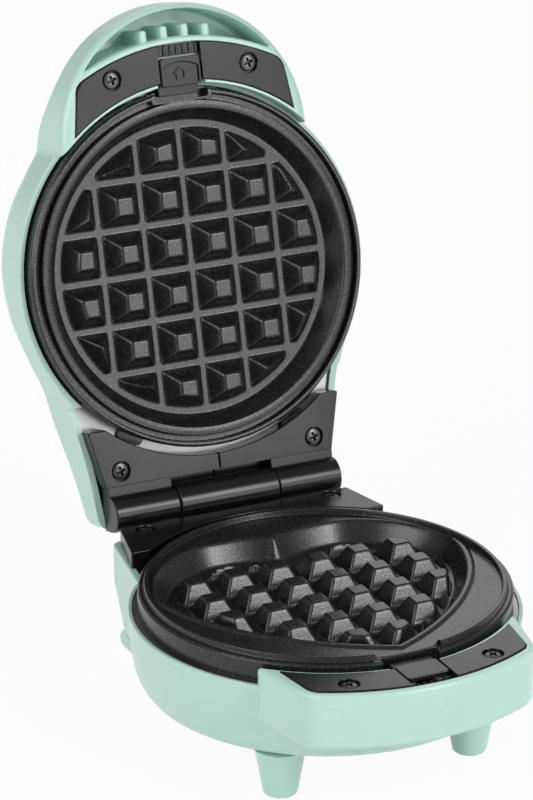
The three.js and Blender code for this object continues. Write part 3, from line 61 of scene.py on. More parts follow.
BASE = Matrix.Translation((0, -CENTRE_SHIFT, STAND_HEIGHT))
LID = (
    Matrix.Translation((0, HINGE_BACK - CENTRE_SHIFT, HINGE_RISE + STAND_HEIGHT))
    @ Matrix.Rotation(-OPEN_ANGLE, 4, "X")
    @ Matrix.Translation((0, -HINGE_BACK, PARTING_GAP - HINGE_RISE))
    @ Matrix.Rotation(math.pi, 4, "Y")
)
TO_METRES = Matrix.Scale(0.001, 4)

# Clearance, reach of a cut past the face that it opens, blend of the bosses' edges, and sides of a full turn
GAP = 0.3
OVERRUN = 1.0
BOSS_BLEND = 0.7
SIDES = 192

# Sizes of the pieces, which follow the CAD model. Heights and drops count from the plate's face.
PLATE_RADIUS = 63.9
PLATE_WALL = 1.8
PLATE_UNDERSIDE = -4.4
SKIRT = 8.5
NOTCH_HALF = 10.3
RIM_RADIUS = 67.2
RIM_DROP = 8.4
LID_SIDE_RADIUS = 66.5
LID_LIP_RADIUS = 64.6
LID_RIM_DROP = 5.6
NECK_RIM_DROP = 7.2
SEAT = -9.9
SHELL_WALL = 2.4
BASE_SEAM = -34.6
BASE_SEAM_RADIUS = 62
BASE_NECK_HALF = 46.8
BASE_NECK_BACK = 77
BASE_SLOPE = ((BASE_NECK_BACK, -17.5), (59.9, BASE_SEAM))
COVER_FLOOR = -38
COVER_RADIUS = 54
COVER_SCREW_CIRCLE = 40
COVER_SCREW_TURN = math.radians(20)
FRONT_LEG = (35.6, -38.9)
REAR_LEG = 33.6
REAR_LEG_HALF = 4.8
BLOCK_INNER = 66.0
BASE_BLOCK_TOP = -2.4
BASE_BLOCK_FLOOR = -22.4
LID_BLOCK_TOP = 1.3
BLOCK_DECK = 5.6
ARCH_RADIUS = 47.3
ARCH_FRONT = 46.9
POCKET_INNER = 82.5
POCKET_DROP = 16.0
LID_NECK_OPEN = 43.0
INSERT_INNER = 67.1
INSERT_OUTER = 80.3
INSERT_RISE = 0.5
INSERT_THICKNESS = 3.0
INSERT_SCREW = (26.3, -70.2)
CATCH_HALF = 7.7
BRACKET_TOP = -0.9
BRACKET_LOW = BRACKET_TOP - 6.0
BASE_HINGE_SCREW = (36.4, 69.0)
LID_HINGE_SCREW = (38.0, 67.3)
WEB_FRONT = 72.4
KNUCKLE_HALF = 19.3
LID_KNUCKLE = (19.6, 44.15)


# Outlines in a plane: arrays of points that run anticlockwise


class Path:
    def __init__(self, x, y):
        self.points = [np.array((x, y), float)]

    def line(self, x, y):
        self.points.append(np.array((x, y), float))
        return self

    def quad(self, cx, cy, x, y, steps=10):
        """A curve to (x, y) that leans towards (cx, cy)."""
        a, c, b = self.points[-1], np.array((cx, cy), float), np.array((x, y), float)
        for t in np.linspace(0, 1, steps + 1)[1:]:
            self.points.append((1 - t) ** 2 * a + 2 * t * (1 - t) * c + t * t * b)
        return self

    def cubic(self, c1, c2, end, steps):
        a, b, c, d = self.points[-1], np.array(c1, float), np.array(c2, float), np.array(end, float)
        for t in np.linspace(0, 1, steps + 1)[1:]:
            u = 1 - t
            self.points.append(u**3 * a + 3 * u * u * t * b + 3 * u * t * t * c + t**3 * d)
        return self

    def arc(self, cx, cy, radius, start, end, steps):
        for turn in np.linspace(start, end, steps + 1):
            self.points.append(np.array((cx + radius * math.cos(turn), cy + radius * math.sin(turn))))
        return self

    def done(self):
        kept = [self.points[0]]
        for point in self.points[1:]:
            if np.linalg.norm(point - kept[-1]) > 1e-3:
                kept.append(point)
        if np.linalg.norm(kept[0] - kept[-1]) < 1e-3:
            kept.pop()
        outline = np.array(kept)
        x, y = outline[:, 0], outline[:, 1]
        area = np.sum(x * np.roll(y, -1) - np.roll(x, -1) * y)
        return outline if area > 0 else outline[::-1]


def circle(radius, sides=SIDES, x=0.0, y=0.0):
    turn = np.linspace(0, 2 * math.pi, sides, endpoint=False)
    return np.stack((x + radius * np.cos(turn), y + radius * np.sin(turn)), 1)


def rectangle(left, right, front, back, corner=0.0):
    if not corner:
        return np.array(((left, front), (right, front), (right, back), (left, back)), float)
    path = Path(left + corner, front)
    centres = rectangle(left + corner, right - corner, front + corner, back - corner)
    for (x, y), start in zip(np.roll(centres, -1, 0), (-0.5, 0.0, 0.5, 1.0)):
        path.arc(x, y, corner, math.pi * start, math.pi * (start + 0.5), 6)
    return path.done()


def inset(points, distance):
    """The outline moved inwards, by one distance or by one for each point."""
    before, after = np.roll(points, 1, 0), np.roll(points, -1, 0)
    first = points - before
    second = after - points
    first /= np.linalg.norm(first, axis=1)[:, None]
    second /= np.linalg.norm(second, axis=1)[:, None]
    normal = np.stack((-first[:, 1] - second[:, 1], first[:, 0] + second[:, 0]), 1)
    normal /= np.linalg.norm(normal, axis=1)[:, None]
    lean = np.maximum(-normal[:, 0] * first[:, 1] + normal[:, 1] * first[:, 0], 0.5)
    return points + normal * (np.asarray(distance) / lean)[:, None]


def fillet(points, radius, steps=5):
    """An open line with each inner corner rounded off."""
    points = [np.array(p, float) for p in points]
    rounded = [points[0]]
    for before, corner, after in zip(points, points[1:], points[2:]):
        first, second = before - corner, after - corner
        a, b = np.linalg.norm(first), np.linalg.norm(second)
        first, second = first / a, second / b
        half = math.acos(max(-1, min(1, float(first @ second)))) / 2
        if half > math.pi / 2 - 0.02:
            rounded.append(corner)
            continue
        reach = min(radius / math.tan(half), a * 0.45, b * 0.45)
        start, end = corner + first * reach, corner + second * reach
        for t in np.linspace(0, 1, steps + 1):
            rounded.append((1 - t) ** 2 * start + 2 * t * (1 - t) * corner + t * t * end)
    rounded.append(points[-1])
    return np.array(rounded)


# Meshes


def linked(name, data):
    """A new object of the scene."""
    obj = bpy.data.objects.new(name, data)
    bpy.context.scene.collection.objects.link(obj)
    return obj


def mesh_object(name, points, faces):
    """A mesh whose faces of more than four corners are split, so that no cut leaves a ring-shaped face."""
    mesh = bpy.data.meshes.new(name)
    mesh.from_pydata([tuple(map(float, p)) for p in points], [], [tuple(map(int, f)) for f in faces])
    mesh.update()
    if max(len(face) for face in faces) > 4:
        work = bmesh.new()
        work.from_mesh(mesh)
        bmesh.ops.triangulate(work, faces=[face for face in work.faces if len(face.verts) > 4])
        work.to_mesh(mesh)
        work.free()
    return linked(name, mesh)


def bands(count, levels):
    """The faces between rings of equal counts, lowest first."""
    faces = []
    for level in range(levels - 1):
        for i in range(count):
            p, q = level * count + i, level * count + (i + 1) % count
            faces.append((p, q, q + count, p + count))
    return faces


def loft(name, rings):
    """A closed body through rings of equal counts, given as (outline, height), lowest first."""
    count = len(rings[0][0])
    points = np.concatenate([np.column_stack((ring, np.full(count, z))) for ring, z in rings])
    floor, top = tuple(reversed(range(count))), tuple(range((len(rings) - 1) * count, len(rings) * count))
    return mesh_object(name, points, [floor, *bands(count, len(rings)), top])


def prism(name, points, low, high, low_edge=0.0, high_edge=0.0, steps=5):
    """An upright prism with rounded bottom and top edges."""
    quarter = [math.pi / 2 * i / steps for i in range(steps + 1)]
    rings = []
    for turn in quarter[:-1] if low_edge else ():
        outline = inset(points, low_edge * (1 - math.sin(turn)))
        rings.append((outline, low + low_edge * (1 - math.cos(turn))))
    rings.append((points, low + low_edge))
    if high - high_edge > low + low_edge + 1e-6:
        rings.append((points, high - high_edge))
    for turn in quarter[1:] if high_edge else ():
        outline = inset(points, high_edge * (1 - math.cos(turn)))
        rings.append((outline, high - high_edge * (1 - math.sin(turn))))
    return loft(name, rings)


def block(name, left, right, front, back, low, high, corner=0.0, edge=0.0):
    return prism(name, rectangle(left, right, front, back, corner), low, high, edge, edge, 3)


def side_prism(name, line, left, right, edge=0.0):
    """A prism along X, from its side view in Y and Z."""
    body = prism(name, np.array(line), left, right, edge, edge, 3)
    body.data.transform(Matrix(((0, 0, 1, 0), (1, 0, 0, 0), (0, 1, 0, 0), (0, 0, 0, 1))))
    return body


def side_block(name, side, near, far, front, back, low, high):
    """A block from near to far on one side, which is 1 or -1."""
    left, right = sorted((side * near, side * far))
    return block(name, left, right, front, back, low, high)


def lathe(name, profile, sides=SIDES):
    """A body of revolution about Z, from a profile that starts and ends on the axis."""
    profile = np.array(profile, float)
    turn = np.linspace(0, 2 * math.pi, sides, endpoint=False)
    rings = profile[1:-1]
    points = [(r * math.cos(t), r * math.sin(t), z) for r, z in rings for t in turn]
    last, low, high = len(points) - sides, len(points), len(points) + 1
    points += [(0, 0, profile[0][1]), (0, 0, profile[-1][1])]
    faces = bands(sides, len(rings))
    for i in range(sides):
        j = (i + 1) % sides
        faces.append((low, j, i))
        faces.append((high, last + i, last + j))
    return mesh_object(name, points, faces)


def drum(name, radius, low, high=5):
    return lathe(name, [(0, low), (radius, low), (radius, high), (0, high)])


def moved(obj, x=0.0, y=0.0, z=0.0):
    obj.data.transform(Matrix.Translation((x, y, z)))
    return obj


def copied(obj, name):
    return linked(name, obj.data.copy())


def paint(obj, material):
    obj.data.materials.clear()
    obj.data.materials.append(material)


def combine(target, operation, *others):
    """Booleans, applied at once. The other bodies are used up."""
    for other in others:
        modifier = target.modifiers.new("combine", "BOOLEAN")
        modifier.operation = operation
        modifier.solver = "MANIFOLD"
        modifier.object = other
    bpy.context.view_layer.update()
    graph = bpy.context.evaluated_depsgraph_get()
    mesh = bpy.data.meshes.new_from_object(target.evaluated_get(graph), depsgraph=graph)
    target.modifiers.clear()
    target.data = mesh
    for other in others:
        bpy.data.objects.remove(other)
    return target


def cut(target, *others):
    return combine(target, "DIFFERENCE", *others)


def join(target, *others):
    return combine(target, "UNION", *others)


def common(target, *others):
    return combine(target, "INTERSECT", *others)


def place(obj, half, body, slot, material, *nodes, smooth=32.0, weighted=True):
    """Puts a finished body where it belongs, paints and smooths it, hangs it on its body and hides the CAD
    nodes that it stands for.
    """
    obj.data.transform(TO_METRES @ half)
    paint(obj, material)
    obj.data.shade_smooth()
    obj.data.set_sharp_from_angle(angle=math.radians(smooth))
    if weighted:
        modifier = obj.modifiers.new("normals", "WEIGHTED_NORMAL")
        modifier.keep_sharp = True
        modifier.weight = 80
    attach(obj, body)
    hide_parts(*nodes)


# Materials


class Nodes:
    """One material, with textures that follow the object."""

    def __init__(self, name):
        self.material = bpy.data.materials.new(name)
        self.material.use_nodes = True
        self.tree = self.material.node_tree
        self.shader = self.tree.nodes["Principled BSDF"]
        coordinates = self.tree.nodes.new("ShaderNodeTexCoord")
        self.place = coordinates.outputs["Object"]

    def put(self, **values):
        for name, value in values.items():
            self.shader.inputs[name].default_value = value

    def add(self, kind, **values):
        node = self.tree.nodes.new(kind)
        for name, value in values.items():
            node.inputs[name].default_value = value
        return node

    def link(self, start, end):
        self.tree.links.new(start, end)

    def noise(self, scale, detail=3.0, roughness=0.55):
        node = self.add("ShaderNodeTexNoise", Scale=scale, Detail=detail, Roughness=roughness)
        self.link(self.place, node.inputs["Vector"])
        return node.outputs["Fac"]

    def ramp(self, value, stops):
        """Colours along a value, from stops of (position, colour)."""
        node = self.add("ShaderNodeValToRGB")
        elements = node.color_ramp.elements
        while len(elements) < len(stops):
            elements.new(1.0)
        for element, (position, colour) in zip(elements, stops):
            element.position = position
            element.color = (*colour, 1)
        self.link(value, node.inputs["Fac"])
        return node.outputs["Color"]

    def spread(self, value, low, high):
        node = self.add("ShaderNodeMapRange")
        node.inputs["To Min"].default_value = low
        node.inputs["To Max"].default_value = high
        self.link(value, node.inputs["Value"])
        return node.outputs["Result"]

    def colour(self, value):
        self.link(value, self.shader.inputs["Base Color"])

    def rough(self, value):
        self.link(value, self.shader.inputs["Roughness"])

    def bump(self, *layers):
        """Layers of (height, strength, distance in metres)."""
        normal = None
        for height, strength, distance in layers:
            node = self.add("ShaderNodeBump", Strength=strength, Distance=distance)
            self.link(height, node.inputs["Height"])
            if normal is not None:
                self.link(normal, node.inputs["Normal"])
            normal = node.outputs["Normal"]
        self.link(normal, self.shader.inputs["Normal"])


def srgb(r, g, b):
    def linear(v):
        v /= 255
        return v / 12.92 if v <= 0.04045 else ((v + 0.055) / 1.055) ** 2.4

    return linear(r), linear(g), linear(b)


def shade(colour, factor):
    return tuple(min(1.0, c * factor) for c in colour)


def plastic(name, colour, low, high, vary=0.03, grain=0.00002, scale=2600, ior=1.46):
    """Roughness from low to high, a shade that varies broadly, and a grain so many metres deep."""
    nodes = Nodes(name)
    nodes.put(IOR=ior)
    broad = nodes.noise(18)
    nodes.colour(nodes.ramp(broad, ((0.3, shade(colour, 1 - vary)), (0.7, shade(colour, 1 + vary)))))
    nodes.rough(nodes.spread(nodes.noise(60), low, high))
    nodes.bump((nodes.noise(scale, 2), 0.25, grain))
    return nodes.material


def coating(name, colour, fleck):
    """Speckled non-stick coating: a pebbly grain that glitters, with a few paler flecks."""
    nodes = Nodes(name)
    nodes.put(IOR=1.56)
    flecks = nodes.noise(1900, 1, 0.5)
    nodes.colour(nodes.ramp(flecks, ((0.5, colour), (0.66, shade(colour, 1.6)), (0.76, fleck))))
    nodes.rough(nodes.spread(nodes.noise(900), 0.2, 0.36))
    nodes.bump((nodes.noise(1150, 2, 0.6), 0.7, 0.00006), (nodes.noise(2900, 1), 0.5, 0.00002))
    return nodes.material


def metal(name, colour, low, high, stretch=(1, 1, 1), scale=500):
    """Roughness from low to high in a fine pattern, which stretch draws out into brush lines."""
    nodes = Nodes(name)
    nodes.put(Metallic=1.0)
    mapping = nodes.add("ShaderNodeMapping", Scale=stretch)
    nodes.link(nodes.place, mapping.inputs["Vector"])
    brushed = nodes.add("ShaderNodeTexNoise", Scale=scale, Detail=4.0)
    nodes.link(mapping.outputs["Vector"], brushed.inputs["Vector"])
    nodes.colour(nodes.ramp(nodes.noise(40), ((0.3, shade(colour, 0.92)), (0.7, colour))))
    nodes.rough(nodes.spread(brushed.outputs["Fac"], low, high))
    nodes.bump((brushed.outputs["Fac"], 0.15, 0.00002))
    return nodes.material


MINT = plastic("mint_plastic", srgb(185, 219, 208), 0.24, 0.34, vary=0.02, grain=0.000004)
BLACK = plastic(
    "black_plastic", (0.006, 0.006, 0.0062), 0.2, 0.3, vary=0.12, grain=0.00004, scale=1800, ior=1.42)
COATING = coating("nonstick_coating", (0.007, 0.007, 0.0072), (0.11, 0.11, 0.112))
SHEET = metal("sheet_metal", (0.42, 0.425, 0.43), 0.34, 0.5, stretch=(1, 1, 12))
SCREW = metal("screw_steel", srgb(96, 96, 98), 0.25, 0.45)
SPRING = metal("spring_steel", srgb(178, 180, 182), 0.18, 0.3)
HEATER = metal("heater_sheath", srgb(140, 134, 124), 0.35, 0.55)
CERAMIC = plastic("insulator", srgb(233, 229, 218), 0.5, 0.65)
SLEEVE = plastic("wire_sleeve", srgb(217, 214, 207), 0.6, 0.8, vary=0.08, grain=0.0002, scale=900)
LAMP = plastic("lamp_plastic", srgb(228, 238, 230), 0.08, 0.14)


# Plates


def segment_distance(points, outline):
    """Distance of each point to a closed outline, positive inside it."""
    best = np.full(len(points), 1e9)
    inside = np.zeros(len(points), bool)
    for a, b in zip(outline, np.roll(outline, -1, 0)):
        edge = b - a
        rel = points - a
        t = np.clip(rel @ edge / (edge @ edge), 0, 1)
        best = np.minimum(best, np.linalg.norm(rel - t[:, None] * edge, axis=1))
        crosses = (a[1] > points[:, 1]) != (b[1] > points[:, 1])
        if a[1] != b[1]:
            x = a[0] + (points[:, 1] - a[1]) * edge[0] / edge[1]
            inside ^= crosses & (points[:, 0] < x)
    return np.where(inside, best, -best)


def soft_min(a, b, k):
    """The smaller of two heights, blended where they meet."""
    h = np.clip(0.5 + 0.5 * (b - a) / k, 0, 1)
    return b + (a - b) * h - k * h * (1 - h)


def soft_max(a, b, k):
    return -soft_min(-a, -b, k)


def boss_places(half_count, across, back, middle_row):
    """Middles of the bosses, row by row, from their pitch across and back and one row's place."""
    steps = range(-half_count, half_count)
    return [((column + 0.5) * across, middle_row + back * row) for row in steps for column in steps]


def boss_field(x, y, places, foot, crown, rise):
    """Height of square bosses with soft edges and corners, which narrow from foot to crown."""
    height = np.full(len(x), -9.0)
    for cx, cy in places:
        across = soft_max(np.abs(x - cx), np.abs(y - cy), 0.9)
        height = np.maximum(height, (foot / 2 - across) * rise / ((foot - crown) / 2))
    return soft_min(height, rise, BOSS_BLEND)


def field_mesh(name, height_at, radius, rings):
    """A disc whose inside is a fine square grid and whose outside is turned rings of (radius, height).
    The grid follows height_at(x, y), and the rings close the body underneath."""
    step = 0.42
    count = int(radius / step) + 1
    axis = np.arange(-count, count + 1) * step
    grid_x, grid_y = np.meshgrid(axis, axis, indexing="ij")
    keep = np.hypot(grid_x, grid_y) <= radius - step * 0.4
    cells = keep[:-1, :-1] & keep[1:, :-1] & keep[1:, 1:] & keep[:-1, 1:]
    padded = np.pad(cells, 1)
    around = (padded[:-1, :-1], padded[1:, :-1], padded[1:, 1:], padded[:-1, 1:])
    used = np.logical_or.reduce(around)
    index = np.full(keep.shape, -1)
    index[used] = np.arange(used.sum())
    i, j = np.nonzero(cells)
    faces = np.stack((index[i, j], index[i + 1, j], index[i + 1, j + 1], index[i, j + 1]), 1)
    x, y = grid_x[used], grid_y[used]
    on_edge = ~np.logical_and.reduce(around)[used]
    reach = np.hypot(x[on_edge], y[on_edge])
    x[on_edge] *= radius / reach
    y[on_edge] *= radius / reach
    z = height_at(x, y)
    points = [np.column_stack((x, y, z))]
    border = np.nonzero(on_edge)[0]
    turn = np.arctan2(y[border], x[border])
    order = np.argsort(turn)
    border, turn = border[order], turn[order]
    total = len(x)
    previous = border
    quads = []
    for r, height in rings:
        ring = np.arange(len(turn)) + total
        points.append(np.column_stack((r * np.cos(turn), r * np.sin(turn), np.full(len(turn), height))))
        quads.append(np.stack((previous, ring, np.roll(ring, -1), np.roll(previous, -1)), 1))
        previous = ring
        total += len(turn)
    points.append(np.array([[0, 0, rings[-1][1]]]))
    middle = [(total, b, a) for a, b in zip(previous, np.roll(previous, -1))]
    return mesh_object(name, np.concatenate(points), [*faces, *np.concatenate(quads), *middle])


def heart_outline():
    path = Path(0, 42.4)
    path.cubic((3.1, 44.6), (11.7, 46.6), (22, 46.6), 30)
    path.cubic((39.8, 46.6), (57.5, 28.1), (57.5, 13), 40)
    path.cubic((57.5, -7.7), (36.2, -40.1), (0, -56), 50)
    right = np.array(path.points)
    left = right[1:-1][::-1] * (-1, 1)
    return np.concatenate((right, left))[::-1]


def plate_rings(rim, low):
    """A plate's rings: its rim, the inside of its skirt, and its underside to the middle."""
    skirt_inner, under_edge = PLATE_RADIUS - PLATE_WALL, 58.5
    under = [(skirt_inner, -SKIRT), (skirt_inner, PLATE_UNDERSIDE), (under_edge, PLATE_UNDERSIDE),
             (under_edge - 2.5, low), (1, low)]
    return np.concatenate((rim, under))


def notch_and_tabs(plate):
    """The floored notch where the catch's nose reaches in, and two tabs at the back."""
    tab_turn = math.radians(28.5)
    notch = block("notch", -NOTCH_HALF, NOTCH_HALF, -PLATE_RADIUS - 2, -60.3, -4.7, 4, 0.9)
    floor = block("notch_floor", -12.1, 12.1, -63.0, -58.5, -6.5, -3.2)
    tabs = []
    for side in (-1, 1):
        tab = block("tab", -5, 5, PLATE_RADIUS - 1, PLATE_RADIUS + 2.6, -8.5, -7.3, 1.2, 0.3)
        tab.data.transform(Matrix.Rotation(side * tab_turn, 4, "Z"))
        tabs.append(tab)
    join(plate, floor, *tabs)
    return cut(plate, notch)


def lower_plate():
    """A heart-shaped field of bosses, whose wall is a line of (distance inside the heart, height)."""
    rim = heart_outline()
    face, floor = -0.8, -7.0
    field_radius = 58.6
    line = fillet(
        [(-1.1, face), (-0.35, -0.1), (0.2, 0), (1.2, -0.05), (1.9, -0.9), (5.7, floor), (9, floor)], 0.7, 6)
    places = [spot for spot in boss_places(4, 15.66, 15.4, 6.4) if math.hypot(*spot) < 58]

    def height_at(x, y):
        depth = segment_distance(np.column_stack((x, y)), rim)
        wall = np.interp(depth, line[:, 0], line[:, 1])
        boss = boss_field(x, y, places, 13.0, 6.4, 6.5)
        strip = np.interp(y, (12.5, 31), (0.8, 7))
        boss = soft_min(boss, (depth - 5.9 - strip) * 4, BOSS_BLEND)
        field = floor + soft_max(boss, 0, 0.5)
        return np.where(depth > 5.0, np.maximum(field, wall), wall)

    tongue = fillet(
        [(field_radius, face), (59.9, face), (60.2, 1.2), (61.6, 1.2), (61.9, face), (63.2, face),
         (PLATE_RADIUS, -1.5), (PLATE_RADIUS, -SKIRT)],
        0.4, 4)
    plate = field_mesh("lower_cooking_plate", height_at, field_radius, plate_rings(tongue[1:], -9.4))
    cut(plate, block("bridge_room", -12.2, 12.2, -63, -59, face + 0.1, 3))
    return notch_and_tabs(plate)


def upper_plate():
    """A round field of bosses, and a groove round it for the lower plate's tongue."""
    floor = -7.3
    field_radius = 51.6
    wall = fillet(((50, floor), (52.8, floor), (56.8, -0.2), (58.2, 0), (59.0, -0.1)), 0.8, 6)
    places = boss_places(3, 17, 17, 8.5)

    def height_at(x, y):
        r = np.hypot(x, y)
        boss = boss_field(x, y, places, 14.3, 6.3, 6.75)
        boss = soft_min(boss, (49.9 - r) * 1.65, BOSS_BLEND)
        return floor + soft_max(boss, 0, 0.5)

    groove = fillet(
        [(58.4, 0), (59.7, 0), (59.85, -3.2), (62.0, -3.2), (62.15, 0), (63.2, 0), (PLATE_RADIUS, -0.8),
         (PLATE_RADIUS, -SKIRT)],
        0.35, 4)
    rim = np.concatenate((wall[1:-1], groove[1:]))
    plate = field_mesh("upper_cooking_plate", height_at, field_radius, plate_rings(rim, -9.7))
    join(plate, block("bridge", -11.7, 11.7, -62.6, -59.4, -3.6, -0.02, 0.9, 0.2))
    return notch_and_tabs(plate)


# Casings


def neck_outline(shrink):
    """The base's neck, from the middle of the round body to its two back corners."""
    corner = max(5.0 - shrink, 0.6)
    root, root_back = 51.5 - shrink, 42.5
    side, end = BASE_NECK_HALF - shrink, BASE_NECK_BACK - shrink
    path = Path(-root, 0)
    path.line(root, 0).line(root, root_back).line(side, end - corner)
    path.quad(side, end, side - corner, end)
    path.line(corner - side, end)
    path.quad(-side, end, -side, end - corner)
    path.line(-root, root_back)
    return path.done()


def block_outline(shrink):
    """The base's front block: an arc between rounded corners, and sides that widen to the body."""
    radius, corner_x, back = 83.0 - shrink, 42.0 - shrink, 47.2 - shrink
    end_front, corner = 48.0, 6.0
    corner_y = math.sqrt(radius**2 - corner_x**2)
    along = np.array((corner_x - back, end_front - corner_y))
    along /= np.linalg.norm(along)
    turn = math.atan2(-corner_y, corner_x) - corner / radius
    left = -math.pi - turn
    path = Path(-back, -end_front)
    path.line(-corner_x + along[0] * corner, -corner_y - along[1] * corner)
    path.quad(-corner_x, -corner_y, radius * math.cos(left), radius * math.sin(left))
    path.arc(0, 0, radius, left, turn, 40)
    path.quad(corner_x, -corner_y, corner_x - along[0] * corner, -corner_y - along[1] * corner)
    path.line(back, -end_front).line(back, -end_front + corner).line(-back, -end_front + corner)
    return path.done()


def insert_outline(grow):
    """Both inserts as one: a strip between two arcs, with rounded front corners."""
    inner, outer = INSERT_INNER - grow, INSERT_OUTER + grow
    front, back = 39.4 + grow, 42.2 + grow
    front_y = math.sqrt(outer**2 - front**2)
    corner = 3.0
    bend = corner / outer
    start = math.atan2(-front_y, front)
    left = -math.pi - start
    inner_turn = math.asin(back / inner)
    lean = corner * (back - front) / (front_y - 54.5)
    first = (outer * math.cos(left + bend), outer * math.sin(left + bend))
    path = Path(*first)
    path.arc(0, 0, outer, left + bend, start - bend, 40)
    path.quad(front, -front_y, front + lean, -front_y + corner)
    path.arc(0, 0, inner, inner_turn - math.pi / 2, -inner_turn - math.pi / 2, 40)
    path.line(-front - lean, -front_y + corner)
    path.quad(-front, -front_y, *first)
    return path.done()


def slope_cut(name, lift):
    """Everything behind and below the slope under the base's neck."""
    top, bottom = np.array(BASE_SLOPE, float)
    reach, depth = 90, 160
    run = (bottom - top) / np.linalg.norm(bottom - top)
    normal = np.array((run[1], -run[0]))
    high, low = top - run * reach + normal * lift, bottom + run * reach + normal * lift
    corners = [high, low, low - normal * depth, high - normal * depth]
    return side_prism(name, corners, -reach, reach)


def base_casing():
    """Round body, neck and front block, hollow, with its rim up."""
    profile = [(BASE_SEAM_RADIUS, BASE_SEAM), (63.6, -32.4), (65.0, -29.4), (65.9, -25), (66.8, -18)]
    step = [(67.0, -11.2), (67.0, -10.7), (RIM_RADIUS, -10.5)]
    outer = fillet([(0, BASE_SEAM), *profile, *step, (RIM_RADIUS, -RIM_DROP), (0, -RIM_DROP)], 0.6, 4)
    body = lathe("base_casing", outer)
    neck_body = prism("neck", neck_outline(0), BASE_SEAM, -NECK_RIM_DROP, 0.5, 0.6, 4)
    cut(neck_body, slope_cut("slope", 0))
    block_body = prism("front_block", block_outline(0), BASE_BLOCK_FLOOR, BASE_BLOCK_TOP, 2.2, 1.3, 6)
    cut(block_body, drum("room", BLOCK_INNER, SEAT))
    join(body, neck_body, block_body)
    below, room_top = BASE_SEAM - 2, -6
    walls = [(r - SHELL_WALL, z) for r, z in profile]
    room_line = [(0, below), (BASE_SEAM_RADIUS - SHELL_WALL, below), *walls, (RIM_RADIUS - SHELL_WALL, SEAT),
                 (65.9, SEAT), (65.9, room_top), (0, room_top)]
    neck_room = prism("neck_room", neck_outline(SHELL_WALL), below, room_top)
    cut(neck_room, slope_cut("inner_slope", SHELL_WALL))
    block_room = prism(
        "block_room", block_outline(SHELL_WALL), SHELL_WALL + BASE_BLOCK_FLOOR, BASE_BLOCK_TOP - BLOCK_DECK)
    return cut(body, lathe("inside", room_line), neck_room, block_room)


def block_cuts(target, top):
    """The recess for the inserts in a block, and the ways for the catch's plate, nose and stem."""
    floor = top + INSERT_RISE - INSERT_THICKNESS - GAP
    recess = prism("recess", insert_outline(GAP), floor, top + OVERRUN)
    mouth = block("mouth", -9.2, 9.2, -68.8, -64, floor, top + 2)
    nose = block("nose_room", -8.2, 8.2, -70.7, -64, min(-4.7, floor), floor + 1)
    throat = block("throat", -3.7, 3.7, -75.1, -66.5, top - BLOCK_DECK - 1, floor + 1)
    return cut(target, recess, mouth, nose, throat)


def base_shell():
    body = block_cuts(base_casing(), BASE_BLOCK_TOP)
    hole = prism("gland_hole", circle(3.7, 32), -3, 3)
    hole.data.transform(Matrix.Translation((0, 76, -12.4)) @ Matrix.Rotation(math.pi / 2, 4, "X"))
    return cut(body, hole)


# Depth of the lid's back behind its face, and the rounding of its edge, by place from handle to hinge
LID_DEPTH = (
    (-70, 20), (-66, 20.5), (-61, 22.6), (-55, 26.5), (-50, 29.2), (-46, 30.7), (-42, 31.7), (-38, 32),
    (50, 32), (55, 31.2), (62, 29.4), (68, 27.4), (75, 25.4), (82, 23.8), (89, 22.6),
)
LID_ROUNDING = (
    (-66, 7), (-50, 7.5), (-45, 10), (-38, 12), (-31, 11), (-7, 11), (0, 12.5),
    (10, 14), (18, 15.5), (25, 16), (33, 12.5), (38, 9.5), (43, 7), (50, 5),
)


def arch_right(shrink):
    """Right half of the handle's arch, from its front to the lid's round side."""
    steps = 60
    front = (ARCH_FRONT**2 + LID_SIDE_RADIUS**2 - ARCH_RADIUS**2) / (2 * ARCH_FRONT)
    end = math.atan2(ARCH_FRONT - front, math.sqrt(LID_SIDE_RADIUS**2 - front**2))
    turn = -math.pi / 2 + (end + math.pi / 2) * (2 * np.arange(steps) + 1) / (2 * steps - 1)
    radius = ARCH_RADIUS - shrink
    return np.stack((radius * np.cos(turn), radius * np.sin(turn) - ARCH_FRONT), 1)


def both_sides(right):
    """A right half with its mirror image, as one outline."""
    return np.concatenate((right, right[::-1] * (-1, 1)))


def lid_outline():
    """Handle, round side, and a neck that leaves it smoothly, up the right side and back down the left."""
    arch = arch_right(0)
    meet = arch[-1]
    root = math.radians(30.6)
    turn = np.linspace(math.atan2(meet[1], meet[0]), root, 70)[1:-1]
    side = np.stack((LID_SIDE_RADIUS * np.cos(turn), LID_SIDE_RADIUS * np.sin(turn)), 1)
    neck = Path(LID_SIDE_RADIUS * math.cos(root), LID_SIDE_RADIUS * math.sin(root))
    neck.quad(49.9, 46.1, 46.5, 83, 30).quad(46.0, 89, 40.0, 89, 14)
    for x in (30, 20, 10, 2):
        neck.line(x, 89)
    right = np.concatenate((arch, side, np.array(neck.points)))
    for _ in range(3):
        near = np.hypot(right[:, 0] - meet[0], right[:, 1] - meet[1]) < 4.5
        near[0] = near[-1] = False
        middle = right.copy()
        middle[1:-1] = (right[:-2] + 2 * right[1:-1] + right[2:]) / 4
        right = np.where(near[:, None], middle, right)
    return both_sides(right)


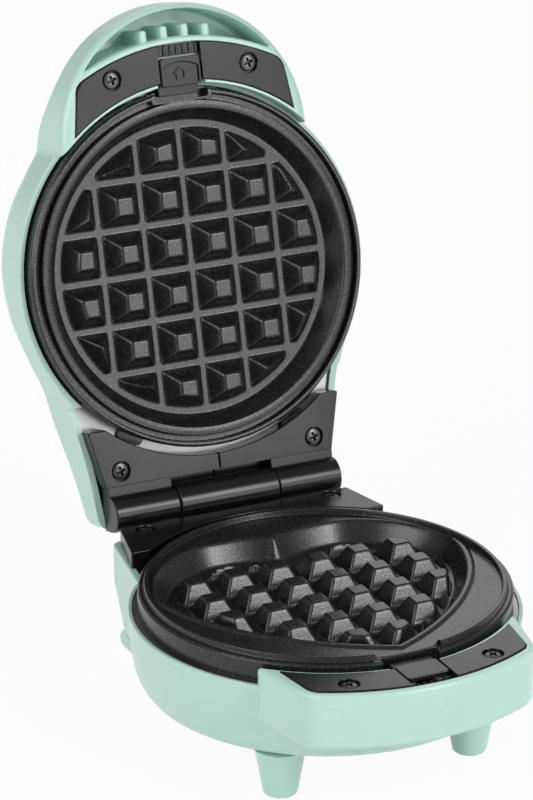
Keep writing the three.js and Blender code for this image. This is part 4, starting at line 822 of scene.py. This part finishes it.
def lid_body(name, shrink, top, top_edge=0.0):
    """The lid's body, or with a shrink the room in it. Each pair of points closes one strip of its back."""
    steps = 12
    wall = lid_outline()
    y = wall[:, 1]
    rounding = np.interp(y, *zip(*LID_ROUNDING))
    depth = np.interp(inset(wall, rounding)[:, 1], *zip(*LID_DEPTH))
    rings = []
    for turn in np.linspace(math.pi / 2, 0, steps + 1):
        ring = inset(wall, rounding - (rounding - shrink) * math.cos(turn))
        rings.append(np.column_stack((ring, rounding - depth - (rounding - shrink) * math.sin(turn))))
    plain = inset(wall, shrink)
    rings.append(np.column_stack((plain, np.full(len(plain), top - top_edge))))
    if top_edge:
        for turn in np.linspace(0, math.pi / 2, 4)[1:]:
            ring = inset(wall, shrink + top_edge * (1 - math.cos(turn)))
            rings.append(np.column_stack((ring, np.full(len(ring), top - top_edge * (1 - math.sin(turn))))))
    count = len(wall)
    faces = bands(count, len(rings))
    last = (len(rings) - 1) * count
    for i in range(count // 2 - 1):
        p, q, r, s = i, i + 1, count - 2 - i, count - 1 - i
        faces.append((s, r, q, p))
        faces.append((last + p, last + q, last + r, last + s))
    return mesh_object(name, np.concatenate(rings), faces)


def pocket_outline(shrink):
    """The crescent between the strip above the inserts and the arch, with rounded tips."""
    inner, outer = POCKET_INNER + shrink, ARCH_RADIUS - 2.1 - shrink
    tip_y = (ARCH_FRONT**2 + inner**2 - outer**2) / (2 * ARCH_FRONT)
    tip_x = math.sqrt(inner**2 - tip_y**2)
    trim = 0.035
    near = math.asin(tip_x / inner) - trim
    far = math.atan2(tip_x, tip_y - ARCH_FRONT) - trim
    path = Path(-inner * math.sin(near), -inner * math.cos(near))
    path.quad(-tip_x, -tip_y, -outer * math.sin(far), -ARCH_FRONT - outer * math.cos(far))
    for turn in np.linspace(-far, far, 60)[1:]:
        path.line(outer * math.sin(turn), -ARCH_FRONT - outer * math.cos(turn))
    path.quad(tip_x, -tip_y, inner * math.sin(near), -inner * math.cos(near))
    for turn in np.linspace(near, -near, 40)[1:]:
        path.line(inner * math.sin(turn), -inner * math.cos(turn))
    return path.done()


def lid_room():
    """The lid's hollow: its round part, block and neck, and the opening under the plate's edge."""
    room = lid_body("room", SHELL_WALL, SEAT)
    arch = both_sides(arch_right(SHELL_WALL))
    block_room = prism("block_room", arch, SEAT - 1, LID_BLOCK_TOP - BLOCK_DECK)
    cut(block_room, drum("ring", 67.1, SEAT - 3))
    join(room, block_room)
    pocket_wall = block("pocket_wall", -70, 70, -97, -66, -34, 3)
    cut(pocket_wall, drum("round", 80.6, -36))
    cut(room, pocket_wall)
    neck_room = prism("neck_room", inset(lid_outline(), SHELL_WALL), SEAT - 1, 2)
    common(neck_room, block("neck_keep", -70, 70, LID_NECK_OPEN, 92, -20, 4))
    lip_line = [(0, SEAT - 1), (LID_LIP_RADIUS, SEAT - 1), (LID_LIP_RADIUS, -6.0), (64.9, -5.0), (0, -5.0)]
    return join(room, neck_room, lathe("lip", lip_line))


def pocket():
    """The handle's pocket, with a rounded floor and a mouth that flares."""
    low, top = -POCKET_DROP, LID_BLOCK_TOP
    levels = ((1.2, low), (0.35, low + 0.35), (0, low + 1.2), (0, top - 1.6), (-0.1, top - 0.9),
              (-0.3, top - 0.45), (-0.7, top - 0.1), (-1.6, top + 1.5))
    return loft("pocket", [(pocket_outline(shrink), z) for shrink, z in levels])


def pocket_ribs():
    """Four ribs that stand against the pocket's inner wall."""
    ribs = []
    for i in range(4):
        x = (i - 1.5) * 8.0
        foot = math.sqrt(POCKET_INNER**2 - x * x)
        outline = rectangle(x - 1.3, x + 1.3, -foot - 4.2, -foot + 1.15, 0.9)
        ribs.append(prism("rib", outline, -POCKET_DROP - 0.3, LID_BLOCK_TOP - 1.4, 0, 0.9, 4))
    return ribs


def lid_shell():
    """The lid's casing with the handle's arch, its pocket and the recess for the inserts."""
    arch, rim = arch_right(0), -LID_RIM_DROP
    outline = both_sides(np.concatenate((arch, [(arch[-1][0], -36.0)])))
    upper = prism("arch", outline, rim - 3, LID_BLOCK_TOP, 0, 3.6, 8)
    plate_room = drum("plate_room", BLOCK_INNER, rim)
    body = lid_body("lid_casing", 0, rim, 0.4)
    join(body, cut(upper, plate_room))
    cut(body, block("neck_top", -70, 70, LID_NECK_OPEN, 92, -NECK_RIM_DROP, 3))
    cut(body, lid_room())
    cut(body, pocket())
    join(body, *pocket_ribs())
    block_cuts(body, LID_BLOCK_TOP)
    return cut(body, moved(prism("lamp_hole", circle(3.9, 48), -40, -28), 0, -30, 0))


def open_stops(body):
    """The two lugs behind the lid's neck that end the opening, from their side view."""
    line = [(87.8, -13), (93.2, -8.8), (93.2, 1.8), (89.3, 1.8), (89.3, -7.2), (87.8, -8.4)]
    return join(body, *[side_prism("stop", line, x - 4, x + 4) for x in (-30, 30)])


def front_leg(side):
    """A round leg that narrows to its rounded foot."""
    x, y = side * FRONT_LEG[0], FRONT_LEG[1]
    line = [(4.6, -STAND_HEIGHT), (5.2, -53.35), (5.7, -52.9), (5.95, -52.2), (8.6, -37), (9.6, -35.9)]
    return loft("leg", [(circle(r, 64, x, y), z) for r, z in line])


def rear_leg(side):
    """A flat leg that reaches back."""
    line = [(44, -36.8), (44, -38), (66.5, -53.1), (67.3, -STAND_HEIGHT), (86.5, -STAND_HEIGHT),
            (88.9, -52.3), (89.5, -50.6), (89.3, -49.2), (68.4, -30.8), (67.8, -30.6), (65.3, -30.9),
            (60.2, -35.2), (54, -36.8)]
    x = side * REAR_LEG
    return side_prism("rear_leg", line, x - REAR_LEG_HALF, x + REAR_LEG_HALF, 0.9)


def cover_screw_place(side, end):
    x = side * COVER_SCREW_CIRCLE * math.sin(COVER_SCREW_TURN)
    y = end * COVER_SCREW_CIRCLE * math.cos(COVER_SCREW_TURN)
    return x, y


def bottom_cover():
    """The shallow dish under the base, with a tongue below the neck, four legs and four screw holes."""
    seam = BASE_SEAM - GAP
    outer = [(0, COVER_FLOOR), (COVER_RADIUS, COVER_FLOOR), (BASE_SEAM_RADIUS, seam), (0, seam)]
    body = lathe("underside_cover", fillet(outer, 1.5, 5))
    tongue = loft("tongue", [(inset(neck_outline(0), 3.1), COVER_FLOOR), (neck_outline(0), seam)])
    cut(tongue, slope_cut("slope", 0))
    join(body, tongue)
    floor, edge, above = COVER_FLOOR + SHELL_WALL, BASE_SEAM_RADIUS - SHELL_WALL, seam + 1
    room = [(0, floor), (COVER_RADIUS - SHELL_WALL, floor), (edge, seam), (edge, above), (0, above)]
    cut(body, lathe("room", room))
    for side in (-1, 1):
        join(body, front_leg(side))
        join(body, rear_leg(side))
    for side in (-1, 1):
        for end in (-1, 1):
            outline = circle(3.4, 48, *cover_screw_place(side, end))
            cut(body, prism("screw_hole", outline, COVER_FLOOR - 1, COVER_FLOOR + 0.6))
    return body


# Black pieces


def screw_sinks(target, places, face, depth, chamfer, mouth):
    """Cuts a round sink with a widened mouth into a face at each place."""
    line = ((3.5, face - depth), (3.5, face - chamfer), (mouth, face + 0.3))
    for x, y in places:
        cut(target, loft("sink", [(circle(r, 48, x, y), z) for r, z in line]))
    return target


def insert(side, top):
    """The insert on one side of a catch."""
    face = top + INSERT_RISE
    body = prism("insert", insert_outline(0), face - INSERT_THICKNESS, face, 0, 0.35, 3)
    common(body, side_block("keep", side, 8.3, 90, -90, 0, face - 9, face + 9))
    return screw_sinks(body, [(side * INSERT_SCREW[0], INSERT_SCREW[1])], face, 1.7, 0.3, 4.0)


def catch_slide(top, marked):
    """A catch: its plate between the inserts, the nose on the cooking plate, and the stem and foot below."""
    face = top + INSERT_RISE
    low, floor = face - 2.9, face - 0.9
    outline = rectangle(-CATCH_HALF, CATCH_HALF, -75.3, -65.2, 1.1)
    body = prism("catch", outline, low, face, 0.2, 0.35, 4)
    cut(body, block("thin", -9, 9, -77, -72.3, low - 1, face - 1.5))
    if marked:
        scoop = moved(prism("scoop", circle(13, 96), floor, face + 1, 0.5, 0), 0, -60.8, 0)
        half = CATCH_HALF - 0.9
        common(scoop, block("scoop_room", -half, half, -76, -66.0, face - 2, face + 2, 0.6))
        cut(body, scoop)
    nose_low = -4.4
    nose = join(
        block("nose", -CATCH_HALF, CATCH_HALF, -66.2, -61.8, nose_low, nose_low + 1.8, 0.5, 0.3),
        block("web", -CATCH_HALF, CATCH_HALF, -67.2, -65.2, nose_low, floor))
    under = top - BLOCK_DECK - GAP
    stem = block("stem", -3.2, 3.2, -71.6, -67, under - 1, low + 1)
    foot = block("foot", -5.6, 5.6, -71.6, -67, under - 6, under, 0.6, 0.4)
    join(body, nose, stem, foot)
    if marked:
        join(body, arrow_mark(floor))
    return body


def arrow_mark(floor):
    """The outline of an arrow towards the handle, raised on the scoop's floor."""
    outline = np.array((
        (2.9, -69.6), (1.7, -69.6), (1.7, -67.4), (-1.7, -67.4), (-1.7, -69.6), (-2.9, -69.6), (0, -71.9)))
    mark = prism("mark", outline, floor - 0.2, floor + 0.6)
    return cut(mark, prism("mark_inside", inset(outline, 0.45), floor - 1, floor + 1))


def catch_guide(top):
    """The ribbed block under a catch's way, on its handle side."""
    low = top + INSERT_RISE - INSERT_THICKNESS
    front = -math.sqrt(INSERT_OUTER**2 - CATCH_HALF**2)
    body = block("guide", -CATCH_HALF, CATCH_HALF, front, -75.9, low, low + 0.8, 0.3, 0.15)
    ribs = []
    for i in range(7):
        x = (i / 6 - 0.5) * (2 * CATCH_HALF - 0.8)
        ribs.append(block("rib", x - 0.45, x + 0.45, front + 0.1, -76.0, low + 0.4, low + 1.3, 0.2, 0.15))
    return join(body, *ribs)


def bracket_outline():
    """The hinge brackets' outline: round the plate at the front, and tapered to the back."""
    inner, shoulder = 66.9, 42.0
    turn = math.acos(shoulder / inner)
    path = Path(-48.2, 52)
    path.line(-shoulder - 0.6, 52)
    path.arc(0, 0, inner, math.pi - turn, turn, 64)
    path.line(48.2, 52)
    path.quad(49.2, 52, 48.98, 53, 4)
    path.line(44.72, 72)
    path.quad(44.5, 73, 43.5, 73, 4)
    path.line(-43.5, 73)
    path.quad(-44.5, 73, -44.72, 72, 4)
    path.line(-48.98, 53)
    path.quad(-49.2, 52, -48.2, 52, 4)
    return path.done()


def bracket_slab(name):
    return prism(name, bracket_outline(), BRACKET_LOW, BRACKET_TOP, 0.2, 0.45, 4)


def bracket_sinks(body, places):
    return screw_sinks(body, places, BRACKET_TOP, 1.8, 0.35, 3.95)


def knuckle(left, right, radius, height, web_back, web_top):
    """A knuckle round the hinge's axis, with the web that joins it to its bracket."""
    line = fillet([(0, left), (radius, left), (radius, right), (0, right)], 0.5, 4)
    body = lathe("knuckle", line, 96)
    body.data.transform(Matrix.Translation((0, HINGE_BACK, height)) @ Matrix.Rotation(math.pi / 2, 4, "Y"))
    web = block("web", left + 0.02, right - 0.02, WEB_FRONT, web_back, BRACKET_LOW, web_top, 0.0, 0.25)
    return join(body, web)


def base_bracket():
    half, (across, back) = KNUCKLE_HALF, BASE_HINGE_SCREW
    body = join(bracket_slab("base_hinge_mount"), knuckle(-half, half, 6.9, HINGE_RISE, HINGE_BACK, -3.4))
    return bracket_sinks(body, [(-across, back), (across, back)])


def lid_bracket(side):
    """A half of the lid's bracket with its outer knuckle and its half of the guard below the middle one."""
    height = PARTING_GAP - HINGE_RISE
    parting, inner, outer = 0.4, *LID_KNUCKLE
    left, right = sorted((side * inner, side * outer))
    body = bracket_slab("lid_hinge_mount")
    common(body, side_block("keep", side, parting, 70, 0, 90, BRACKET_LOW - 1, 9))
    cut(body, block("middle", -inner, inner, 72.5, 90, BRACKET_LOW - 1, 3))
    guard = join(block("guard", -19.9, 19.9, 71.1, 85.5, -8.9, -7.5, 0, 0.2),
                 block("guard_wall", -19.9, 19.9, 71.1, 72.5, -8.9, -1.4, 0, 0))
    common(guard, side_block("half", side, parting, 30, 60, 90, -12, 3))
    join(body, guard, knuckle(left, right, 6.5, height, 88.5, height))
    return bracket_sinks(body, [(side * LID_HINGE_SCREW[0], LID_HINGE_SCREW[1])])


def screw_mesh(name):
    """A pan head with a cross recess, its top at height zero."""
    line = [(0, -9), (1.0, -9), (1.4, -8.4), (1.4, -1.3), (3.0, -1.3), (3.1, -1.15), (3.1, -0.75),
            (2.85, -0.35), (2.3, -0.1), (1.2, 0), (0, 0)]
    body = lathe(name, line, 48)
    first_turn = 0.3
    for turn in (0, math.pi / 2):
        rings = [(rectangle(-1.1, 1.1, -0.3, 0.3), -1.5), (rectangle(-1.9, 1.9, -0.52, 0.52), 0.2)]
        slot = loft("cross", rings)
        slot.data.transform(Matrix.Rotation(turn + first_turn, 4, "Z"))
        cut(body, slot)
    return cut(body, loft("cone", [(circle(0.25, 16), -1.7), (circle(1.0, 16), 0.1)]))


# The object's pieces, each with its frame, body, slot, material and the CAD node that it stands for

place(lower_plate(), BASE, "base", "nonstick_cast", COATING, "lower_plate", weighted=False, smooth=60)
place(upper_plate(), LID, "lid", "nonstick_cast", COATING, "upper_plate", weighted=False, smooth=60)
place(base_shell(), BASE, "base", "mint_plastic", MINT, "base_shell")
place(bottom_cover(), BASE, "base", "mint_plastic", MINT, "bottom_cover")
place(open_stops(lid_shell()), LID, "lid", "mint_plastic", MINT, "lid_shell")

for word, side in (("left", -1), ("right", 1)):
    place(insert(side, BASE_BLOCK_TOP), BASE, "base", "black_plastic", BLACK, f"base_insert_{word}")
    place(insert(-side, LID_BLOCK_TOP), LID, "lid", "black_plastic", BLACK, f"lid_insert_{word}")
    place(lid_bracket(-side), LID, "lid", "black_plastic", BLACK, f"lid_hinge_bracket_{word}")
place(base_bracket(), BASE, "base", "black_plastic", BLACK, "base_hinge_bracket")
place(catch_slide(BASE_BLOCK_TOP, False), BASE, "base_catch_slide_body", "black_plastic", BLACK, "base_catch")
place(catch_slide(LID_BLOCK_TOP, True), LID, "lid_catch_slide_body", "black_plastic", BLACK, "lid_catch")
place(catch_guide(BASE_BLOCK_TOP), BASE, "base", "black_plastic", BLACK, "base_catch_guide")
place(catch_guide(LID_BLOCK_TOP), LID, "lid", "black_plastic", BLACK, "lid_catch_guide")

SCREW_MASTER = screw_mesh("screw_master")

# Pairs of screws: frame of the half, body, node, place, height of the face, and side of the one called left
SCREW_PAIRS = (
    (BASE, "base", "base_insert_screw", INSERT_SCREW, BASE_BLOCK_TOP + INSERT_RISE, -1),
    (LID, "lid", "lid_insert_screw", INSERT_SCREW, LID_BLOCK_TOP + INSERT_RISE, 1),
    (BASE, "base", "base_hinge_screw", BASE_HINGE_SCREW, BRACKET_TOP, -1),
    (LID, "lid", "lid_hinge_screw", LID_HINGE_SCREW, BRACKET_TOP, 1),
)
for half, body, node, (across, back), face, left in SCREW_PAIRS:
    for word, side in (("left", left), ("right", -left)):
        piece = moved(copied(SCREW_MASTER, f"{node}_{word}_head"), side * across, back, face - GAP)
        place(piece, half, body, "screw_steel", SCREW, f"{node}_{word}")
for end_word, end in (("front", -1), ("rear", 1)):
    for word, side in (("left", -1), ("right", 1)):
        piece = copied(SCREW_MASTER, f"cover_screw_{end_word}_{word}_head")
        piece.data.transform(Matrix.Rotation(math.pi, 4, "X"))
        moved(piece, *cover_screw_place(side, end), COVER_FLOOR - 0.65)
        place(piece, BASE, "base", "screw_steel", SCREW, f"bottom_cover_screw_{end_word}_{word}")
bpy.data.objects.remove(SCREW_MASTER)


def catch_spring(half):
    """The spring in front of a catch, copied as it is from its CAD node, with its own mesh."""
    coil = copied(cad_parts[f"{half}_catch_spring"], f"{half}_catch_coil")
    paint(coil, SPRING)
    coil.data.shade_smooth()
    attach(coil, half)
    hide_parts(f"{half}_catch_spring")
    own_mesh(coil)


catch_spring("base")
catch_spring("lid")

# CAD nodes that are shown as they are, with their materials
KEPT = {
    "base_liner": SHEET, "lid_liner": SHEET, "lower_heating_element": HEATER, "upper_heating_element": HEATER,
    "thermostat": CERAMIC, "thermal_fuse": HEATER, "terminal_block": CERAMIC, "heater_lead_left": SLEEVE,
    "heater_lead_right": SLEEVE, "cord_gland": BLACK, "hinge_pin": SPRING, "lamp_lens": LAMP,
    "lamp_body": CERAMIC,
}
for node, material in KEPT.items():
    paint(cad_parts[node], material)


# Stage, light and camera, in metres. The camera is the one fitted to the photo.

PAPER_WHITE = 0.94
WORLD_STRENGTH = 0.33
MIDDLE = Vector((0, 0.04, 0.12))
PLATE_MIDDLE = Vector((0, -CENTRE_SHIFT, STAND_HEIGHT)) * 0.001
CAMERA_PLACE = Vector((-0.4950, -0.9931, 0.5037)) + PLATE_MIDDLE
CAMERA_AZIMUTH = math.radians(-25.461)
CAMERA_ELEVATION = math.radians(21.517)
CAMERA_LENS = 161.3


def area_light(name, place_at, size, power):
    lamp = bpy.data.lights.new(name, "AREA")
    lamp.shape = "RECTANGLE"
    lamp.size, lamp.size_y = size
    lamp.energy = power
    obj = linked(name, lamp)
    obj.location = place_at
    obj.rotation_euler = (MIDDLE - Vector(place_at)).to_track_quat("-Z", "Y").to_euler()


def seen_directly(tree):
    """One for camera, glossy and transmission rays, which see the background as white."""
    path = tree.nodes.new("ShaderNodeLightPath")
    value = path.outputs["Is Camera Ray"]
    for ray in ("Is Glossy Ray", "Is Transmission Ray"):
        either = tree.nodes.new("ShaderNodeMath")
        either.operation = "MAXIMUM"
        tree.links.new(value, either.inputs[0])
        tree.links.new(path.outputs[ray], either.inputs[1])
        value = either.outputs["Value"]
    return value


def floor_paper():
    """White paper. Part of what is seen of it is its own white, and the rest keeps the object's shadow."""
    material = bpy.data.materials.new("floor_paper")
    material.use_nodes = True
    tree = material.node_tree
    link = tree.links.new
    shader = tree.nodes["Principled BSDF"]
    shader.inputs["Base Color"].default_value = (0.92, 0.92, 0.92, 1)
    shader.inputs["Roughness"].default_value = 0.9
    shader.inputs["Specular IOR Level"].default_value = 0.1
    white = tree.nodes.new("ShaderNodeEmission")
    share = tree.nodes.new("ShaderNodeMath")
    share.operation = "MULTIPLY"
    share.inputs[1].default_value = PAPER_WHITE
    link(seen_directly(tree), share.inputs[0])
    mix = tree.nodes.new("ShaderNodeMixShader")
    link(share.outputs["Value"], mix.inputs["Fac"])
    link(shader.outputs["BSDF"], mix.inputs[1])
    link(white.outputs["Emission"], mix.inputs[2])
    link(mix.outputs["Shader"], tree.nodes["Material Output"].inputs["Surface"])
    return material


floor = mesh_object("floor", [(-12, -12, 0), (12, -12, 0), (12, 12, 0), (-12, 12, 0)], [(0, 1, 2, 3)])
floor.data.materials.append(floor_paper())
floor.location.z = -0.0002

world = bpy.data.worlds.new("studio")
bpy.context.scene.world = world
world.use_nodes = True
background = world.node_tree.nodes["Background"]
background.inputs["Color"].default_value = (1, 1, 1, 1)
background.inputs["Strength"].default_value = WORLD_STRENGTH

area_light("front_right_softbox", (0.42, -0.84, 0.66), (0.28, 0.42), 4.6)
area_light("front_softbox", (0.4, -1.02, 0.22), (0.34, 0.24), 1.5)
area_light("left_softbox", (-1.15, -0.35, 0.75), (0.8, 0.9), 9)
area_light("rear_softbox", (0.45, 1.1, 0.75), (1.0, 0.7), 3)

camera_data = bpy.data.cameras.new("camera")
camera_data.lens = CAMERA_LENS
camera_data.sensor_width = 36
camera = linked("camera", camera_data)
level = math.cos(CAMERA_ELEVATION)
back_way = Vector((
    math.sin(CAMERA_AZIMUTH) * level, -math.cos(CAMERA_AZIMUTH) * level, math.sin(CAMERA_ELEVATION)))
camera.location = CAMERA_PLACE
camera.rotation_euler = back_way.to_track_quat("Z", "Y").to_euler()
bpy.context.scene.camera = camera
bpy.context.scene.view_settings.view_transform = "Standard"
